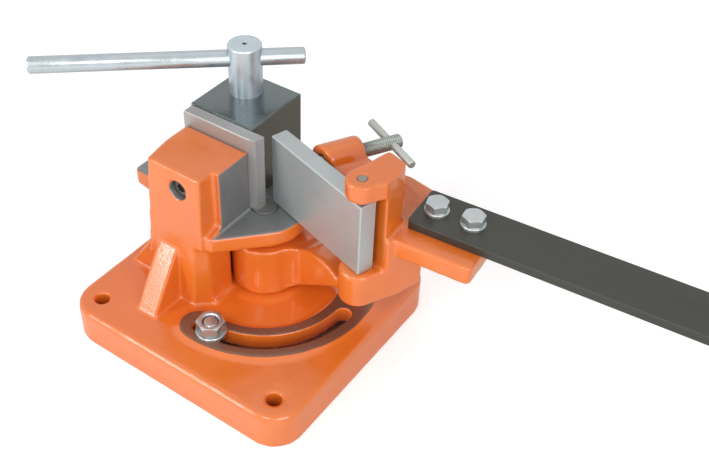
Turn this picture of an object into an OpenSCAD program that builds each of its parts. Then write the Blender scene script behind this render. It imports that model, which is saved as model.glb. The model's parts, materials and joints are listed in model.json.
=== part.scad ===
// Bench angle bender: a cast base with a table and jaw head, an arm that swings a hinged
// bending leaf round the jaw's nose, an eccentric clamp block and an adjustable angle stop.
// Frame: millimetres, origin at the centre of the base's underside, +X along the front edge,
// +Y to the back, +Z up. The arm is drawn where it stands part way into a bend.

/* [Base plate] */
// Length of the base along X
base_length = 250; // [235:1:270]
// Depth of the base along Y
base_depth = 240; // [230:1:260]
// Height of the base
base_height = 38; // [34:1:44]
// Radius of the base's corners in plan
base_corner_radius = 28; // [20:1:34]
// Radius of the base's top edge
base_edge_radius = 5; // [2:0.5:8]
// Wall left round the hollow underside
base_skirt = 13; // [9:0.5:18]
// Thickness of the base's top
base_top = 15; // [12:0.5:18]
// Distance between bolt holes along X
mount_spacing_x = 201; // [190:1:206]
// Distance between bolt holes along Y
mount_spacing_y = 194; // [184:1:198]
// Bolt hole diameter
mount_hole_d = 14; // [10:0.5:16]
// Diameter of the solid corner round each bolt hole
mount_boss_d = 44; // [36:1:50]
// Thickness of the ribs under the base
rib_thickness = 12; // [8:0.5:16]

/* [Pivot] */
// Place of the swing axis along X
pivot_x = 1; // [-2:0.5:4]
// Place of the swing axis along Y
pivot_y = 20; // [18:0.5:22]
// Pivot pin diameter
pivot_pin_d = 24; // [20:0.5:28]
// Wall of the bronze bush
bush_wall = 3; // [2:0.5:4]
// Diameter of the raised boss under the arm's hub
pivot_boss_d = 74; // [68:1:80]
// Height of that boss
pivot_boss_h = 2; // [1.5:0.5:4]
// Diameter of the boss under the table, over the arm's hub
table_boss_d = 52; // [46:1:58]
// Radius of the fillet round the boss on the base
pivot_fillet_r = 6; // [3:0.5:8]
// How far the pin reaches up inside the base before it stops
pin_foot = 8; // [4:1:14]

/* [Angle stop] */
// Radius of the stop slot's centre line
slot_radius = 91.5; // [90:0.5:93]
// Width of the stop slot
slot_width = 15; // [14.5:0.1:16]
// Width of the machined pad round the slot
pad_width = 33.5; // [31:0.5:36]
// Height of the pad over the base
pad_height = 3; // [2:0.5:3.5]
// Angle of the slot's first end
slot_start = -92; // [-95:1:-90]
// Angle of the slot's last end
slot_end = -2; // [-10:1:0]
// How far the pad runs past the slot's first end, in degrees
pad_lead = 2; // [0:0.5:4]
// Width of the bank round the pad
pad_bank = 5; // [3:0.5:6]
// Angle of the pad's last end
pad_end = 14; // [8:1:20]
// Angle at which the stop is set
stop_angle = -84.5; // [-88:0.5:-80]
// Stop bolt diameter
stop_bolt_d = 14; // [12:0.5:14]
// Width across flats of the stop bolt's head and nut
stop_flats = 22; // [20:0.5:24]
// Nut height
stop_nut_h = 11; // [9:0.5:13]
// Washer diameter
stop_washer_d = 28; // [26:0.5:31]
// Washer thickness
stop_washer_h = 3; // [2:0.5:4]
// Height of the bolt's head
stop_head_h = 10; // [8:0.5:12]

/* [Column and table] */
// Clear height between the base and the table's underside
throat = 68; // [64:1:76]
// Thickness of the table
table_thickness = 16; // [14:0.5:20]
// Radius of the table round the pivot
table_nose_r = 39; // [36:0.5:41]
// Left end of the table
table_left = -133; // [-138:1:-125]
// Right edge of the table beside the clamp
table_right = -2; // [-5:1:2]
// Front edge of the table's left end
table_front = -11; // [-16:1:-6]
// Back edge of the table
table_back = 108; // [106:1:114]
// Corner radius of the table
table_corner_r = 6; // [3:1:12]
// Front of the table's nose, where the machined face ends
table_tip_y = -46; // [-50:1:-42]
// Left face of the column and head at the base
tower_left = -80.5; // [-84:0.5:-78]
// How far the left face leans in over its height
tower_left_lean = 8.5; // [4:0.5:11]
// Front face of the column and head at the base
tower_front = -52.5; // [-56:0.5:-50]
// How far the front face leans in over its height
tower_front_lean = 5; // [2:0.5:7]
// Right face of the column
column_right = -14; // [-17:0.5:-12]
// Back face of the column
column_back = 50; // [44:1:54]
// Chamfer of the column's front right corner
column_chamfer = 12; // [6:1:16]
// Radius of the fillet at the column's foot
foot_fillet_r = 10; // [5:1:12]
// Room left round the arm's hub
hub_room = 3.5; // [3:0.5:6]
// Width of the front gusset
front_gusset_w = 23; // [16:1:26]
// Reach of the front gusset over the base
front_gusset_reach = 36; // [28:1:40]
// Place of the front gusset's middle
front_gusset_x = -54.5; // [-58:0.5:-48]
// Reach of the left gusset over the base
left_gusset_reach = 34; // [26:1:36]
// Thickness of the left gusset and of the ribs under the table
gusset_t = 12; // [8:1:16]
// Depth of the ribs under the table
corbel_depth = 44; // [30:1:52]

/* [Head and jaw] */
// Height of the head over the table
head_height = 62; // [56:1:68]
// Cast right side of the head
head_right = -14; // [-17:0.5:-12]
// How far the machined face stands out of the head
face_proud = 7; // [5:0.5:8]
// Front edge of the machined face
face_front = -30; // [-34:1:-26]
// Height of the flare at the foot of the machined face
face_flare_h = 5; // [3:1:10]
// Jaw plate length
jaw_length = 82; // [78:1:86]
// Jaw plate thickness
jaw_thickness = 12; // [10:0.5:14]
// Jaw plate height
jaw_height = 76; // [72:1:82]
// Setback of the nose's front edge, so that a bend can pass a right angle
jaw_relief = 2; // [1:0.25:3]
// Length of the bevelled nose on the front of the jaw
jaw_nose = 9; // [7:0.5:9.25]
// Depth of that bevel at the tip
jaw_bevel = 1.25; // [0.5:0.25:2]
// Radius of the jaw's bending edge
jaw_edge_r = 1.5; // [0.5:0.25:2.5]
// Distance from the swing axis to the jaw's bending face
jaw_offset = 1.5; // [0.5:0.25:2]
// Place of the jaw screw along X
jaw_screw_x = -39; // [-45:1:-34]
// Height of the jaw screw over the table
jaw_screw_z = 41; // [34:1:48]
// Jaw screw diameter
jaw_screw_d = 10; // [8:1:12]
// Depth of the counterbore for the screw's head
jaw_screw_recess = 18; // [14:1:24]

/* [Clamp] */
// Side of the square clamp block
block_size = 71; // [66:1:74]
// Clamp block height
block_height = 76; // [72:1:80]
// Edge chamfer of the block
block_chamfer = 1.2; // [0.5:0.1:2]
// Right face of the block
block_right = -11.5; // [-14:0.5:-9]
// Gap between the block and the jaw as drawn
clamp_gap = 0.8; // [0.7:0.1:2]
// Spindle diameter
spindle_d = 30; // [26:1:32]
// Place of the spindle from the block's left face
spindle_inset_x = 27.5; // [24:0.5:34]
// Place of the spindle from the block's back face
spindle_inset_y = 25.5; // [22:0.5:30]
// Height of the spindle over the table
spindle_height = 125; // [116:1:132]
// Eccentric throw of the journal
throw = 8; // [7:0.25:8.5]
// Angle of the throw as drawn, counted from the X axis
throw_angle = -38; // [-38:1:-34]
// Journal diameter
journal_d = 18; // [16:0.5:19]
// Depth of the boss that carries the journal, below the table
journal_boss_h = 12; // [8:1:16]
// Tommy bar diameter
tommy_d = 14; // [12:0.5:15]
// Tommy bar length
tommy_length = 240; // [200:5:280]
// Reach of the tommy bar's short side
tommy_short = 52; // [40:1:80]
// Depth of the tommy bar's axis below the spindle's top
tommy_drop = 14.5; // [12:0.5:17]
// Angle of the tommy bar's short side from the X axis
tommy_angle = 40.6; // [30:0.2:50]
// Guide key width
key_width = 12; // [10:0.5:14]
// Guide key height
key_height = 10; // [8:0.5:12]

/* [Arm] */
// Angle of the bending leaf as drawn, counted from the X axis
arm_angle = -17; // [-19:0.5:-15]
// Hub diameter
hub_d = 64; // [60:1:68]
// Hub top over its underside
hub_height = 52.5; // [46:0.5:54]
// Distance of the web's front face behind the swing axis
web_front = 8; // [5:0.5:10]
// Width of the web at the hub
web_width = 25; // [20:1:28]
// Radius of the fillet between the hub and the web
web_fillet_r = 14; // [8:1:18]
// Height of the web's arched top edge
web_top = 104; // [101:0.5:105]
// Radius of that arch
web_arch_r = 54; // [48:1:64]
// Underside of the lower lug
lug_bottom = 88; // [82:1:92]
// Distance of the leaf pin from the swing axis along the leaf
pin_reach = 112; // [108:0.5:116]
// Radius of the lower lug's nose
lower_nose_r = 16.5; // [15:0.5:18]
// Radius of the upper lug's nose
upper_nose_r = 14; // [12:0.5:16]
// Thickness of the upper lug
upper_lug_t = 17.5; // [15:0.5:21]
// Distance of the wall behind the leaf from the leaf's back
wall_gap = 5; // [4.5:0.5:8]
// Depth of the wall's upper part
wall_depth = 28; // [22:1:34]
// Depth of the wall's lower part
wall_low_depth = 42; // [34:1:48]
// Thickness of the shelf that carries the adjusting screw
shelf_t = 22; // [16:1:28]
// Length of the stop lug under the arm
stop_lug_arc = 10; // [8:0.5:14]
// Angle of the stop lug's striking face from the leaf
stop_lug_angle = 26; // [25.5:0.5:30]

/* [Bending leaf] */
// Leaf length
leaf_length = 122.5; // [119:0.5:124]
// Leaf height
leaf_height = 72.5; // [67:0.5:77]
// Leaf thickness
leaf_thickness = 16.5; // [14:0.5:18]
// Distance of the leaf's face from the swing axis as drawn
leaf_offset = 9.5; // [8.5:0.5:11]
// Reach of the leaf's free end past the swing axis
leaf_overhang = 0.5; // [0:0.25:2]
// Radius of the free end's back corner
leaf_end_r = 5; // [3:0.5:8]
// Leaf pin diameter
leaf_pin_d = 8; // [7:0.5:10]

/* [Adjusting screw] */
// Screw diameter
screw_d = 12; // [10:0.5:14]
// Screw boss diameter
screw_boss_d = 30; // [26:1:34]
// Reach of the screw boss along its axis from the leaf's back
screw_boss_reach = 42.5; // [36:0.5:48]
// Length of screw that stands out behind the boss
screw_tail = 39; // [32:1:44]
// Distance of the screw's axis from the leaf pin along the leaf
screw_lever = 70.2; // [65:0.2:74]
// Angle of the screw's axis from the leaf
screw_lean = 77.5; // [74:0.5:84]
// Depth of the screw's axis below the leaf's top
screw_drop = 11.5; // [9:0.5:13]
// Screw tommy pin diameter
screw_pin_d = 6; // [5:0.5:7]
// Screw tommy pin length
screw_pin_length = 76; // [60:1:80]
// Angle of the screw tommy pin from level
screw_pin_tilt = -3.5; // [-30:0.5:30]

/* [Handle] */
// Bar length
bar_length = 500; // [400:10:800]
// Bar width
bar_width = 48; // [42:1:50]
// Bar thickness
bar_thickness = 9; // [8:0.5:12]
// Corner radius at the bar's inner end
bar_corner_r = 4; // [2:0.5:8]
// Radius along the bar's edges
bar_edge_r = 1.5; // [0.5:0.25:3]
// Angle of the handle from the leaf
handle_turn = 21.5; // [19:0.5:24]
// Distance of the bar's inner end from the swing axis
bar_start = 139; // [136:0.5:144]
// Distance of the bar's middle from the swing axis, square to the bar
bar_side = 28.5; // [26:0.5:31]
// Bolt spacing
bolt_spacing = 33; // [28:1:38]
// Distance of the first bolt from the bar's end
bolt_inset = 15.5; // [13:0.5:18]
// Bolt diameter
bolt_d = 12; // [10:1:12]
// Width across flats of the bolts' heads
bolt_flats = 19; // [17:0.5:20]
// Height of the bolts' heads
bolt_head_h = 7.5; // [6:0.5:9]
// Washer diameter
bolt_washer_d = 24; // [22:0.5:26]
// Washer thickness
bolt_washer_h = 2.5; // [1.5:0.5:3]
// Thickness of the handle lug
handle_lug_t = 18.5; // [15:0.5:22]
// Top of the handle lug over the table
handle_lug_rise = 33.5; // [28:0.5:38]
// Front edge of the handle lug, square to the bar from the swing axis
handle_lug_front = -14; // [-17:0.5:-10]
// Width of the handle lug
handle_lug_w = 72; // [66:1:76]
// Outer end of the handle lug from the swing axis
handle_lug_end = 206; // [200:1:214]
// Corner radius of the handle lug
handle_lug_r = 5; // [3:1:10]

/* [Fits] */
// Running clearance of a shaft in its hole, per side
run_fit = 0.05; // [0.02:0.01:0.1]
// Gap between faces that slide past each other
slide_gap = 0.3; // [0.2:0.05:0.5]

/* [Hidden] */
$fn = 96;

// Colours of the finishes
paint = [0.91, 0.40, 0.16];
ground_steel = [0.62, 0.62, 0.61];
black_steel = [0.20, 0.21, 0.21];
zinc = [0.74, 0.77, 0.79];
bronze = [0.62, 0.47, 0.24];

// Small overlap that makes joined solids one
bite = 1;
// Reach of a cut past the solid that it cuts
past = 2;

// Heights
table_under = base_height + throat;
table_top = table_under + table_thickness;
head_top = table_top + head_height;
pad_top = base_height + pad_height;
boss_top = base_height + pivot_boss_h;
hub_bottom = boss_top + slide_gap;
hub_top = hub_bottom + hub_height;
leaf_bottom = table_top + 2 * slide_gap;
leaf_top = leaf_bottom + leaf_height;
lower_lug_top = leaf_bottom - slide_gap;
upper_lug_gap = 3.5;
upper_lug_bottom = leaf_top + upper_lug_gap;
arm_top = upper_lug_bottom + upper_lug_t;
handle_lug_top = table_top + handle_lug_rise;
handle_lug_bottom = handle_lug_top - handle_lug_t;
screw_z = leaf_top - screw_drop;
spindle_top = table_top + spindle_height;

// Clamp block, spindle and jaw in plan
jaw_back = pivot_y + jaw_offset;
jaw_front = jaw_back - jaw_thickness;
jaw_right = pivot_x + jaw_offset;
jaw_left = jaw_right - jaw_length;
machined_x = head_right + face_proud;
block_left = block_right - block_size;
block_front = jaw_back + clamp_gap;
block_back = block_front + block_size;
spindle_x = block_left + spindle_inset_x;
spindle_y = block_back - spindle_inset_y;
journal_x = spindle_x - throw * cos(throw_angle);
journal_y = spindle_y - throw * sin(throw_angle);
// The journal swings to the throw's dead side, so its slot is longer than it is wide
journal_sweep = throw * (1 - cos(throw_angle));
journal_lead = 0.6;
journal_slot_gap = 0.45;
journal_foot = table_under - journal_boss_h;
key_x = block_right - block_size / 4;
key_length = block_size - 16;
key_sink = key_height / 2;

// Arm in plan, along the leaf and square to it from the swing axis
hub_r = hub_d / 2;
leaf_back = leaf_offset + leaf_thickness;
pin_side = leaf_offset + leaf_thickness / 2 + 0.5;
wall_front = leaf_back + wall_gap;
wall_back = wall_front + wall_depth;
wall_low_back = wall_front + wall_low_depth;
web_back = web_front + web_width;
arm_left = pin_reach - upper_nose_r;
arm_right = pin_reach + lower_nose_r + 5;

// Adjusting screw, along its own axis from the leaf's back
screw_u = pin_reach - screw_lever;
pad_r = screw_d / 2 - 0.5;
pad_length = 4;
pad_centre = (pad_r + slide_gap) / sin(screw_lean);
screw_start = pad_centre + pad_length + slide_gap;
screw_end = screw_boss_reach + screw_tail;
screw_pin_at = screw_end - 9.5;
spigot_d = screw_d / 2;
spigot_length = pad_length - 1;

// Stop, and the setback of its pad's round ends from the band's sides
pad_end_step = 0.3;
stop_across = stop_flats / cos(30);
stop_floor = base_height - base_top;
stop_nut_z = pad_top + stop_washer_h;

// Turns its children with the arm
module in_arm() {
    translate([pivot_x, pivot_y, 0])
        rotate([0, 0, arm_angle])
            children();
}

// Turns its children with the handle
module in_handle() {
    in_arm()
        rotate([0, 0, handle_turn])
            children();
}

// Lays its children along the adjusting screw, with +Z from the leaf's back to the screw's tail
module on_screw() {
    in_arm()
        translate([screw_u, leaf_back, screw_z])
            rotate([0, 0, screw_lean])
                rotate([0, 90, 0])
                    children();
}

// Places its children at the stop
module at_stop() {
    translate([pivot_x, pivot_y, 0])
        rotate([0, 0, stop_angle])
            translate([slot_radius, 0, 0])
                children();
}

// Draws a profile of Y and Z along X, from one place to another
module along_x(from, to) {
    translate([from, 0, 0])
        rotate([90, 0, 90])
            linear_extrude(to - from)
                children();
}

// Draws a profile of X and Z along Y, from one place to another
module along_y(from, to) {
    translate([0, to, 0])
        rotate([90, 0, 0])
            linear_extrude(to - from)
                children();
}

// Flat outline with round corners, from its low corner
module round_rect(size, r) {
    translate([r, 0])
        square([size[0] - 2 * r, size[1]]);
    translate([0, r])
        square([size[0], size[1] - 2 * r]);
    for (x = [r, size[0] - r], y = [r, size[1] - r])
        translate([x, y])
            circle(r);
}

// Flat outline with its corners cut off, from its low corner
module cut_rect(size, cut) {
    polygon([[cut, 0], [size[0] - cut, 0], [size[0], cut], [size[0], size[1] - cut],
             [size[0] - cut, size[1]], [cut, size[1]], [0, size[1] - cut], [0, cut]]);
}

// Block with all its edges chamfered, from its low corner
module chamfered_block(size, cut) {
    intersection() {
        linear_extrude(size[2])
            cut_rect([size[0], size[1]], cut);
        along_x(0, size[0])
            cut_rect([size[1], size[2]], cut);
        along_y(0, size[1])
            cut_rect([size[0], size[2]], cut);
    }
}

// Half profile of a plate with a round top edge, from the middle outwards
module round_edge_profile(width, height, r) {
    square([width, height - r]);
    square([width - r, height]);
    translate([width - r, height - r])
        circle(r);
}

// Plate with round corners and a round top edge, centred on the origin
module soft_plate(size, corner_r, edge_r) {
    half_x = size[0] / 2 - corner_r;
    half_y = size[1] / 2 - corner_r;
    for (side = [0, 180])
        rotate([0, 0, side]) {
            along_x(-half_x, half_x)
                round_edge_profile(size[1] / 2, size[2], edge_r);
            translate([half_x, 0, 0])
                along_y(-half_y, half_y)
                    round_edge_profile(corner_r, size[2], edge_r);
            translate([half_x, half_y, 0])
                rotate_extrude(angle = 90)
                    round_edge_profile(corner_r, size[2], edge_r);
            translate([half_x, -half_y, 0])
                rotate([0, 0, -90])
                    rotate_extrude(angle = 90)
                        round_edge_profile(corner_r, size[2], edge_r);
        }
}

// Band along an arc about the swing axis with round ends
module arc_band(radius, width, height, from, to) {
    rotate([0, 0, from])
        rotate_extrude(angle = to - from)
            translate([radius - width / 2, 0])
                square([width, height]);
    for (turn = [from, to])
        rotate([0, 0, turn])
            translate([radius, 0, 0])
                rotate([0, 0, 90])
                    cylinder(d = width, h = height);
}

// Hexagon with its top corners turned off, standing on the XY plane
module hex_body(flats, height) {
    across = flats / cos(30);
    turned = (across - flats) / 2;
    intersection() {
        cylinder(d = across, h = height, $fn = 6);
        rotate_extrude()
            polygon([[0, 0], [across / 2, 0], [across / 2, height - turned / 2],
                     [flats / 2, height], [0, height]]);
    }
}

// Base casting

// Hollow under the base, with its corner bosses, pivot boss and ribs left standing
module underside_hollow() {
    reach_x = base_length / 2 - base_skirt;
    reach_y = base_depth / 2 - base_skirt;
    difference() {
        translate([-reach_x, -reach_y, -past])
            cube([2 * reach_x, 2 * reach_y, stop_floor + past]);
        for (x = [-1, 1], y = [-1, 1])
            translate([x * mount_spacing_x / 2, y * mount_spacing_y / 2, -2 * past])
                cylinder(d = mount_boss_d, h = stop_floor + 3 * past);
        translate([pivot_x, pivot_y, -2 * past])
            cylinder(d = hub_d, h = stop_floor + 3 * past);
        translate([-reach_x, pivot_y - rib_thickness / 2, -2 * past])
            cube([reach_x + pivot_x, rib_thickness, stop_floor + 3 * past]);
        translate([pivot_x - rib_thickness / 2, pivot_y, -2 * past])
            cube([rib_thickness, reach_y, stop_floor + 3 * past]);
    }
}

// Raised boss round the pivot pin, with a fillet down to the base
module pivot_boss() {
    translate([pivot_x, pivot_y, base_height - bite])
        rotate_extrude()
            difference() {
                square([pivot_boss_d / 2 + pivot_boss_h, pivot_boss_h + bite]);
                translate([pivot_boss_d / 2 + pivot_fillet_r, bite + pivot_fillet_r])
                    circle(pivot_fillet_r);
                translate([pivot_boss_d / 2 + pivot_fillet_r, bite])
                    square([pivot_fillet_r, pivot_boss_h + past]);
            }
}

// Machined pad for the stop: a band along the slot with round ends and a bank all round
module stop_pad() {
    from = slot_start - pad_lead;
    translate([pivot_x, pivot_y, base_height]) {
        rotate([0, 0, from])
            rotate_extrude(angle = pad_end - from)
                translate([slot_radius, 0])
                    for (side = [0, 1])
                        mirror([side, 0])
                            pad_profile(pad_width / 2);
        for (end = [from, pad_end])
            rotate([0, 0, end])
                translate([slot_radius, 0, 0])
                    rotate([0, 0, 90])
                        rotate_extrude()
                            pad_profile(pad_width / 2 - pad_end_step);
    }
}

// Half profile of the stop's pad, from its middle outwards, with its bank run into the base
module pad_profile(half) {
    sunk = bite * pad_bank / pad_height;
    polygon([[0, -bite], [half + pad_bank + sunk, -bite], [half, pad_height], [0, pad_height]]);
}

// Place where the table's front edge touches its round nose
function nose_touch() =
    let (dx = machined_x - pivot_x,
         dy = table_tip_y - pivot_y,
         turn = atan2(dy, dx) + acos(table_nose_r / norm([dx, dy])))
    [pivot_x + table_nose_r * cos(turn), pivot_y + table_nose_r * sin(turn)];

// Outline of the table from above
module table_outline() {
    translate([pivot_x, pivot_y])
        circle(table_nose_r);
    polygon([[machined_x, table_tip_y], nose_touch(), [pivot_x, pivot_y],
             [tower_left + tower_left_lean, pivot_y], [tower_left + tower_left_lean, table_tip_y]]);
    translate([table_left, table_front])
        round_rect([table_right - table_left, table_back - table_front], table_corner_r);
}

// Column from the base to the table, with room for the hub
module column_outline() {
    difference() {
        polygon([[tower_left - past, tower_front - past],
                 [column_right - column_chamfer, tower_front - past],
                 [column_right - column_chamfer, tower_front],
                 [column_right, tower_front + column_chamfer],
                 [column_right, column_back],
                 [tower_left - past, column_back]]);
        translate([pivot_x, pivot_y])
            circle(hub_r + hub_room);
    }
}

// Head over the table, with its machined face standing out
module head_outline() {
    polygon([[tower_left - past, tower_front - past], [head_right, tower_front - past],
             [head_right, face_front], [machined_x, face_front],
             [machined_x, jaw_front], [tower_left - past, jaw_front]]);
}

// Column and head between their leaning left and front faces
module tower() {
    far = base_depth;
    foot = base_height - bite;
    intersection() {
        union() {
            translate([0, 0, foot])
                linear_extrude(table_under - foot + bite)
                    column_outline();
            translate([0, 0, table_under])
                linear_extrude(head_top - table_under)
                    head_outline();
        }
        along_y(-far, far)
            polygon([[tower_left, foot], [far, foot], [far, head_top],
                     [tower_left + tower_left_lean, head_top]]);
        along_x(-far, far)
            polygon([[tower_front, foot], [far, foot], [far, head_top],
                     [tower_front + tower_front_lean, head_top]]);
    }
}

// Fillet between the column's right face and the base, with room for the hub
module column_foot() {
    difference() {
        along_y(tower_front + column_chamfer, column_back)
            translate([column_right - bite, base_height - bite])
                difference() {
                    square(foot_fillet_r + bite);
                    translate([foot_fillet_r + bite, foot_fillet_r + bite])
                        circle(foot_fillet_r);
                }
        translate([pivot_x, pivot_y, 0])
            cylinder(r = hub_r + hub_room, h = table_under);
    }
}

// Flare at the foot of the machined face
module face_flare() {
    along_x(head_right - bite, machined_x)
        polygon([[face_front + bite, table_top - bite], [face_front + bite, table_top + face_flare_h],
                 [table_tip_y + bite, table_top], [table_tip_y + bite, table_top - bite]]);
}

// Gussets that brace the column on the base and the ribs that carry the table
module gussets() {
    foot = base_height - bite;
    crown = table_under - bite;
    // front gusset
    along_x(front_gusset_x - front_gusset_w / 2, front_gusset_x + front_gusset_w / 2)
        polygon([[tower_front - front_gusset_reach, foot], [tower_front + tower_front_lean, foot],
                 [tower_front + tower_front_lean, crown - 3]]);
    // left gusset, and the rib under the table's left end
    along_y(tower_front + gusset_t, tower_front + 2 * gusset_t)
        polygon([[tower_left - left_gusset_reach, foot], [tower_left + tower_left_lean, foot],
                 [tower_left + tower_left_lean, crown]]);
    along_y(pivot_y - gusset_t / 2, pivot_y + gusset_t / 2)
        polygon([[tower_left + tower_left_lean, crown - corbel_depth],
                 [tower_left + tower_left_lean, crown + bite + past],
                 [table_left + table_corner_r / 2, crown + bite + past],
                 [table_left + table_corner_r / 2, crown]]);
    // rib under the table's back end, clear of the spindle
    along_x(column_right - gusset_t, column_right)
        polygon([[column_back - bite, crown - corbel_depth],
                 [column_back - bite, crown + bite + past],
                 [table_back - table_corner_r, crown + bite + past],
                 [table_back - table_corner_r, crown]]);
}

// Slot in the table for the eccentric journal, long enough for its side sway
module journal_slot() {
    width = journal_d + 2 * journal_slot_gap;
    for (x = [-journal_sweep, journal_lead])
        translate([journal_x + x, journal_y, journal_foot - past])
            cylinder(d = width, h = table_top - journal_foot + 2 * past);
    translate([journal_x - journal_sweep, journal_y - width / 2, journal_foot - past])
        cube([journal_sweep + journal_lead, width, table_top - journal_foot + 2 * past]);
}

// Hole for the jaw screw through the head, with a counterbore from the front
module jaw_screw_hole() {
    front = tower_front + tower_front_lean;
    translate([jaw_screw_x, front - 3 * past, table_top + jaw_screw_z])
        rotate([-90, 0, 0]) {
            cylinder(d = jaw_screw_d + 1, h = jaw_front - front + 4 * past);
            cylinder(d = 1.8 * jaw_screw_d, h = jaw_screw_recess + 3 * past);
        }
}

module base_casting() {
    color(paint)
        difference() {
            union() {
                soft_plate([base_length, base_depth, base_height], base_corner_radius, base_edge_radius);
                pivot_boss();
                stop_pad();
                tower();
                column_foot();
                translate([0, 0, table_under])
                    linear_extrude(table_thickness)
                        table_outline();
                translate([pivot_x, pivot_y, hub_top + slide_gap])
                    cylinder(d = table_boss_d, h = table_under - hub_top);
                translate([journal_x, journal_y, journal_foot])
                    cylinder(d = 2 * journal_d + 2 * journal_sweep, h = journal_boss_h + bite);
                face_flare();
                gussets();
            }
            underside_hollow();
            for (x = [-1, 1], y = [-1, 1])
                translate([x * mount_spacing_x / 2, y * mount_spacing_y / 2, -past])
                    cylinder(d = mount_hole_d, h = base_height + 2 * past);
            translate([pivot_x, pivot_y, stop_floor - past])
                arc_band(slot_radius, slot_width, base_top + pad_height + 2 * past, slot_start, slot_end);
            translate([pivot_x, pivot_y, pin_foot])
                cylinder(d = pivot_pin_d, h = table_top);
            jaw_screw_hole();
            journal_slot();
            translate([key_x - key_width / 2 - run_fit, block_front - past, table_top - key_sink - slide_gap])
                cube([key_width + 2 * run_fit, table_back, key_sink + slide_gap + past]);
        }
}

module pivot_pin() {
    chamfer = 1;
    color(ground_steel)
        translate([pivot_x, pivot_y, pin_foot])
            rotate_extrude()
                polygon([[0, 0], [pivot_pin_d / 2 - chamfer, 0], [pivot_pin_d / 2, chamfer],
                         [pivot_pin_d / 2, table_top - pin_foot], [0, table_top - pin_foot]]);
}

// Jaw plate: ground steel with a relieved nose, held to the head by one screw
module jaw_plate() {
    chamfer = 0.8;
    color(ground_steel)
        difference() {
            intersection() {
                translate([0, 0, table_top])
                    linear_extrude(jaw_height) {
                        polygon([[jaw_left, jaw_front], [jaw_right - jaw_nose, jaw_front],
                                 [jaw_right - jaw_relief, jaw_front + jaw_bevel],
                                 [jaw_right, jaw_back - jaw_edge_r], [jaw_right - jaw_edge_r, jaw_back],
                                 [jaw_left, jaw_back]]);
                        translate([jaw_right - jaw_edge_r, jaw_back - jaw_edge_r])
                            circle(jaw_edge_r);
                    }
                along_x(jaw_left, jaw_right)
                    translate([jaw_front, table_top])
                        cut_rect([jaw_thickness, jaw_height], chamfer);
                along_y(jaw_front, jaw_back)
                    translate([jaw_left, table_top])
                        cut_rect([jaw_length, jaw_height], chamfer);
            }
            translate([jaw_screw_x, jaw_front - past, table_top + jaw_screw_z])
                rotate([-90, 0, 0])
                    cylinder(d = jaw_screw_d, h = past + jaw_thickness * 0.75);
        }
}

// Socket-head cap screw, from the head's counterbore into the jaw plate
module jaw_screw() {
    head_d = 1.6 * jaw_screw_d;
    socket = 0.8 * jaw_screw_d;
    seat = tower_front + tower_front_lean + jaw_screw_recess;
    tip = jaw_front + jaw_thickness * 0.7;
    color(black_steel)
        translate([jaw_screw_x, seat, table_top + jaw_screw_z])
            rotate([-90, 0, 0])
                difference() {
                    union() {
                        translate([0, 0, -jaw_screw_d])
                            cylinder(d = head_d, h = jaw_screw_d);
                        cylinder(d = jaw_screw_d - 2 * run_fit, h = tip - seat);
                    }
                    translate([0, 0, -jaw_screw_d - past])
                        cylinder(d = socket / cos(30), h = socket / 2 + past, $fn = 6);
                }
}

// Clamp

module clamp_block() {
    color(black_steel)
        difference() {
            translate([block_left, block_front, table_top + slide_gap])
                chamfered_block([block_size, block_size, block_height], block_chamfer);
            translate([spindle_x, spindle_y, table_top])
                cylinder(d = spindle_d + 2 * run_fit, h = block_height + 2 * past);
            translate([key_x - key_width / 2, block_front + (block_size - key_length) / 2, table_top])
                cube([key_width, key_length, key_height - key_sink]);
        }
}

module guide_key() {
    chamfer = 0.5;
    color(ground_steel)
        translate([key_x - key_width / 2, block_front + (block_size - key_length) / 2, table_top - key_sink])
            chamfered_block([key_width, key_length, key_height], chamfer);
}

// Spindle with its eccentric journal below and a cross hole for the tommy bar
module eccentric_spindle() {
    chamfer = 1.5;
    groove_z = journal_foot - 2 * slide_gap - washer_t() - circlip_t();
    color(zinc)
        difference() {
            union() {
                translate([spindle_x, spindle_y, table_top + slide_gap])
                    rotate_extrude()
                        polygon([[0, 0], [spindle_d / 2, 0],
                                 [spindle_d / 2, spindle_height - slide_gap - chamfer],
                                 [spindle_d / 2 - chamfer, spindle_height - slide_gap],
                                 [0, spindle_height - slide_gap]]);
                translate([journal_x, journal_y, groove_z - circlip_t()])
                    cylinder(d = journal_d, h = table_top - groove_z + circlip_t());
                // neck between the journal and the spindle, inside the round of both
                intersection() {
                    translate([journal_x, journal_y, table_top - bite])
                        cylinder(d = journal_d - 1, h = slide_gap + 2 * bite);
                    translate([spindle_x, spindle_y, table_top - bite])
                        cylinder(d = spindle_d - 1, h = slide_gap + 2 * bite);
                }
            }
            translate([spindle_x, spindle_y, spindle_top - tommy_drop])
                rotate([0, 0, tommy_angle])
                    rotate([0, 90, 0])
                        cylinder(d = tommy_d + 2 * run_fit, h = 2 * spindle_d, center = true);
            translate([spindle_x, spindle_y, spindle_top - tommy_drop])
                cylinder(d = grub_d(), h = tommy_drop + past);
            translate([journal_x, journal_y, groove_z])
                difference() {
                    cylinder(d = 2 * journal_d, h = circlip_t());
                    translate([0, 0, -past])
                        cylinder(d = circlip_bore(), h = circlip_t() + 2 * past);
                }
        }
}

function washer_t() = 2;
function circlip_t() = 1.5;
function circlip_bore() = journal_d - 2;
function grub_d() = 5;

// Tommy bar, held in the spindle's cross hole
module tommy_bar() {
    chamfer = 1.2;
    r = tommy_d / 2;
    color(zinc)
        translate([spindle_x, spindle_y, spindle_top - tommy_drop])
            rotate([0, 0, tommy_angle])
                rotate([0, 90, 0])
                    translate([0, 0, tommy_short - tommy_length])
                        rotate_extrude()
                            polygon([[0, 0], [r - chamfer, 0], [r, chamfer], [r, tommy_length - chamfer],
                                     [r - chamfer, tommy_length], [0, tommy_length]]);
}

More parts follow.
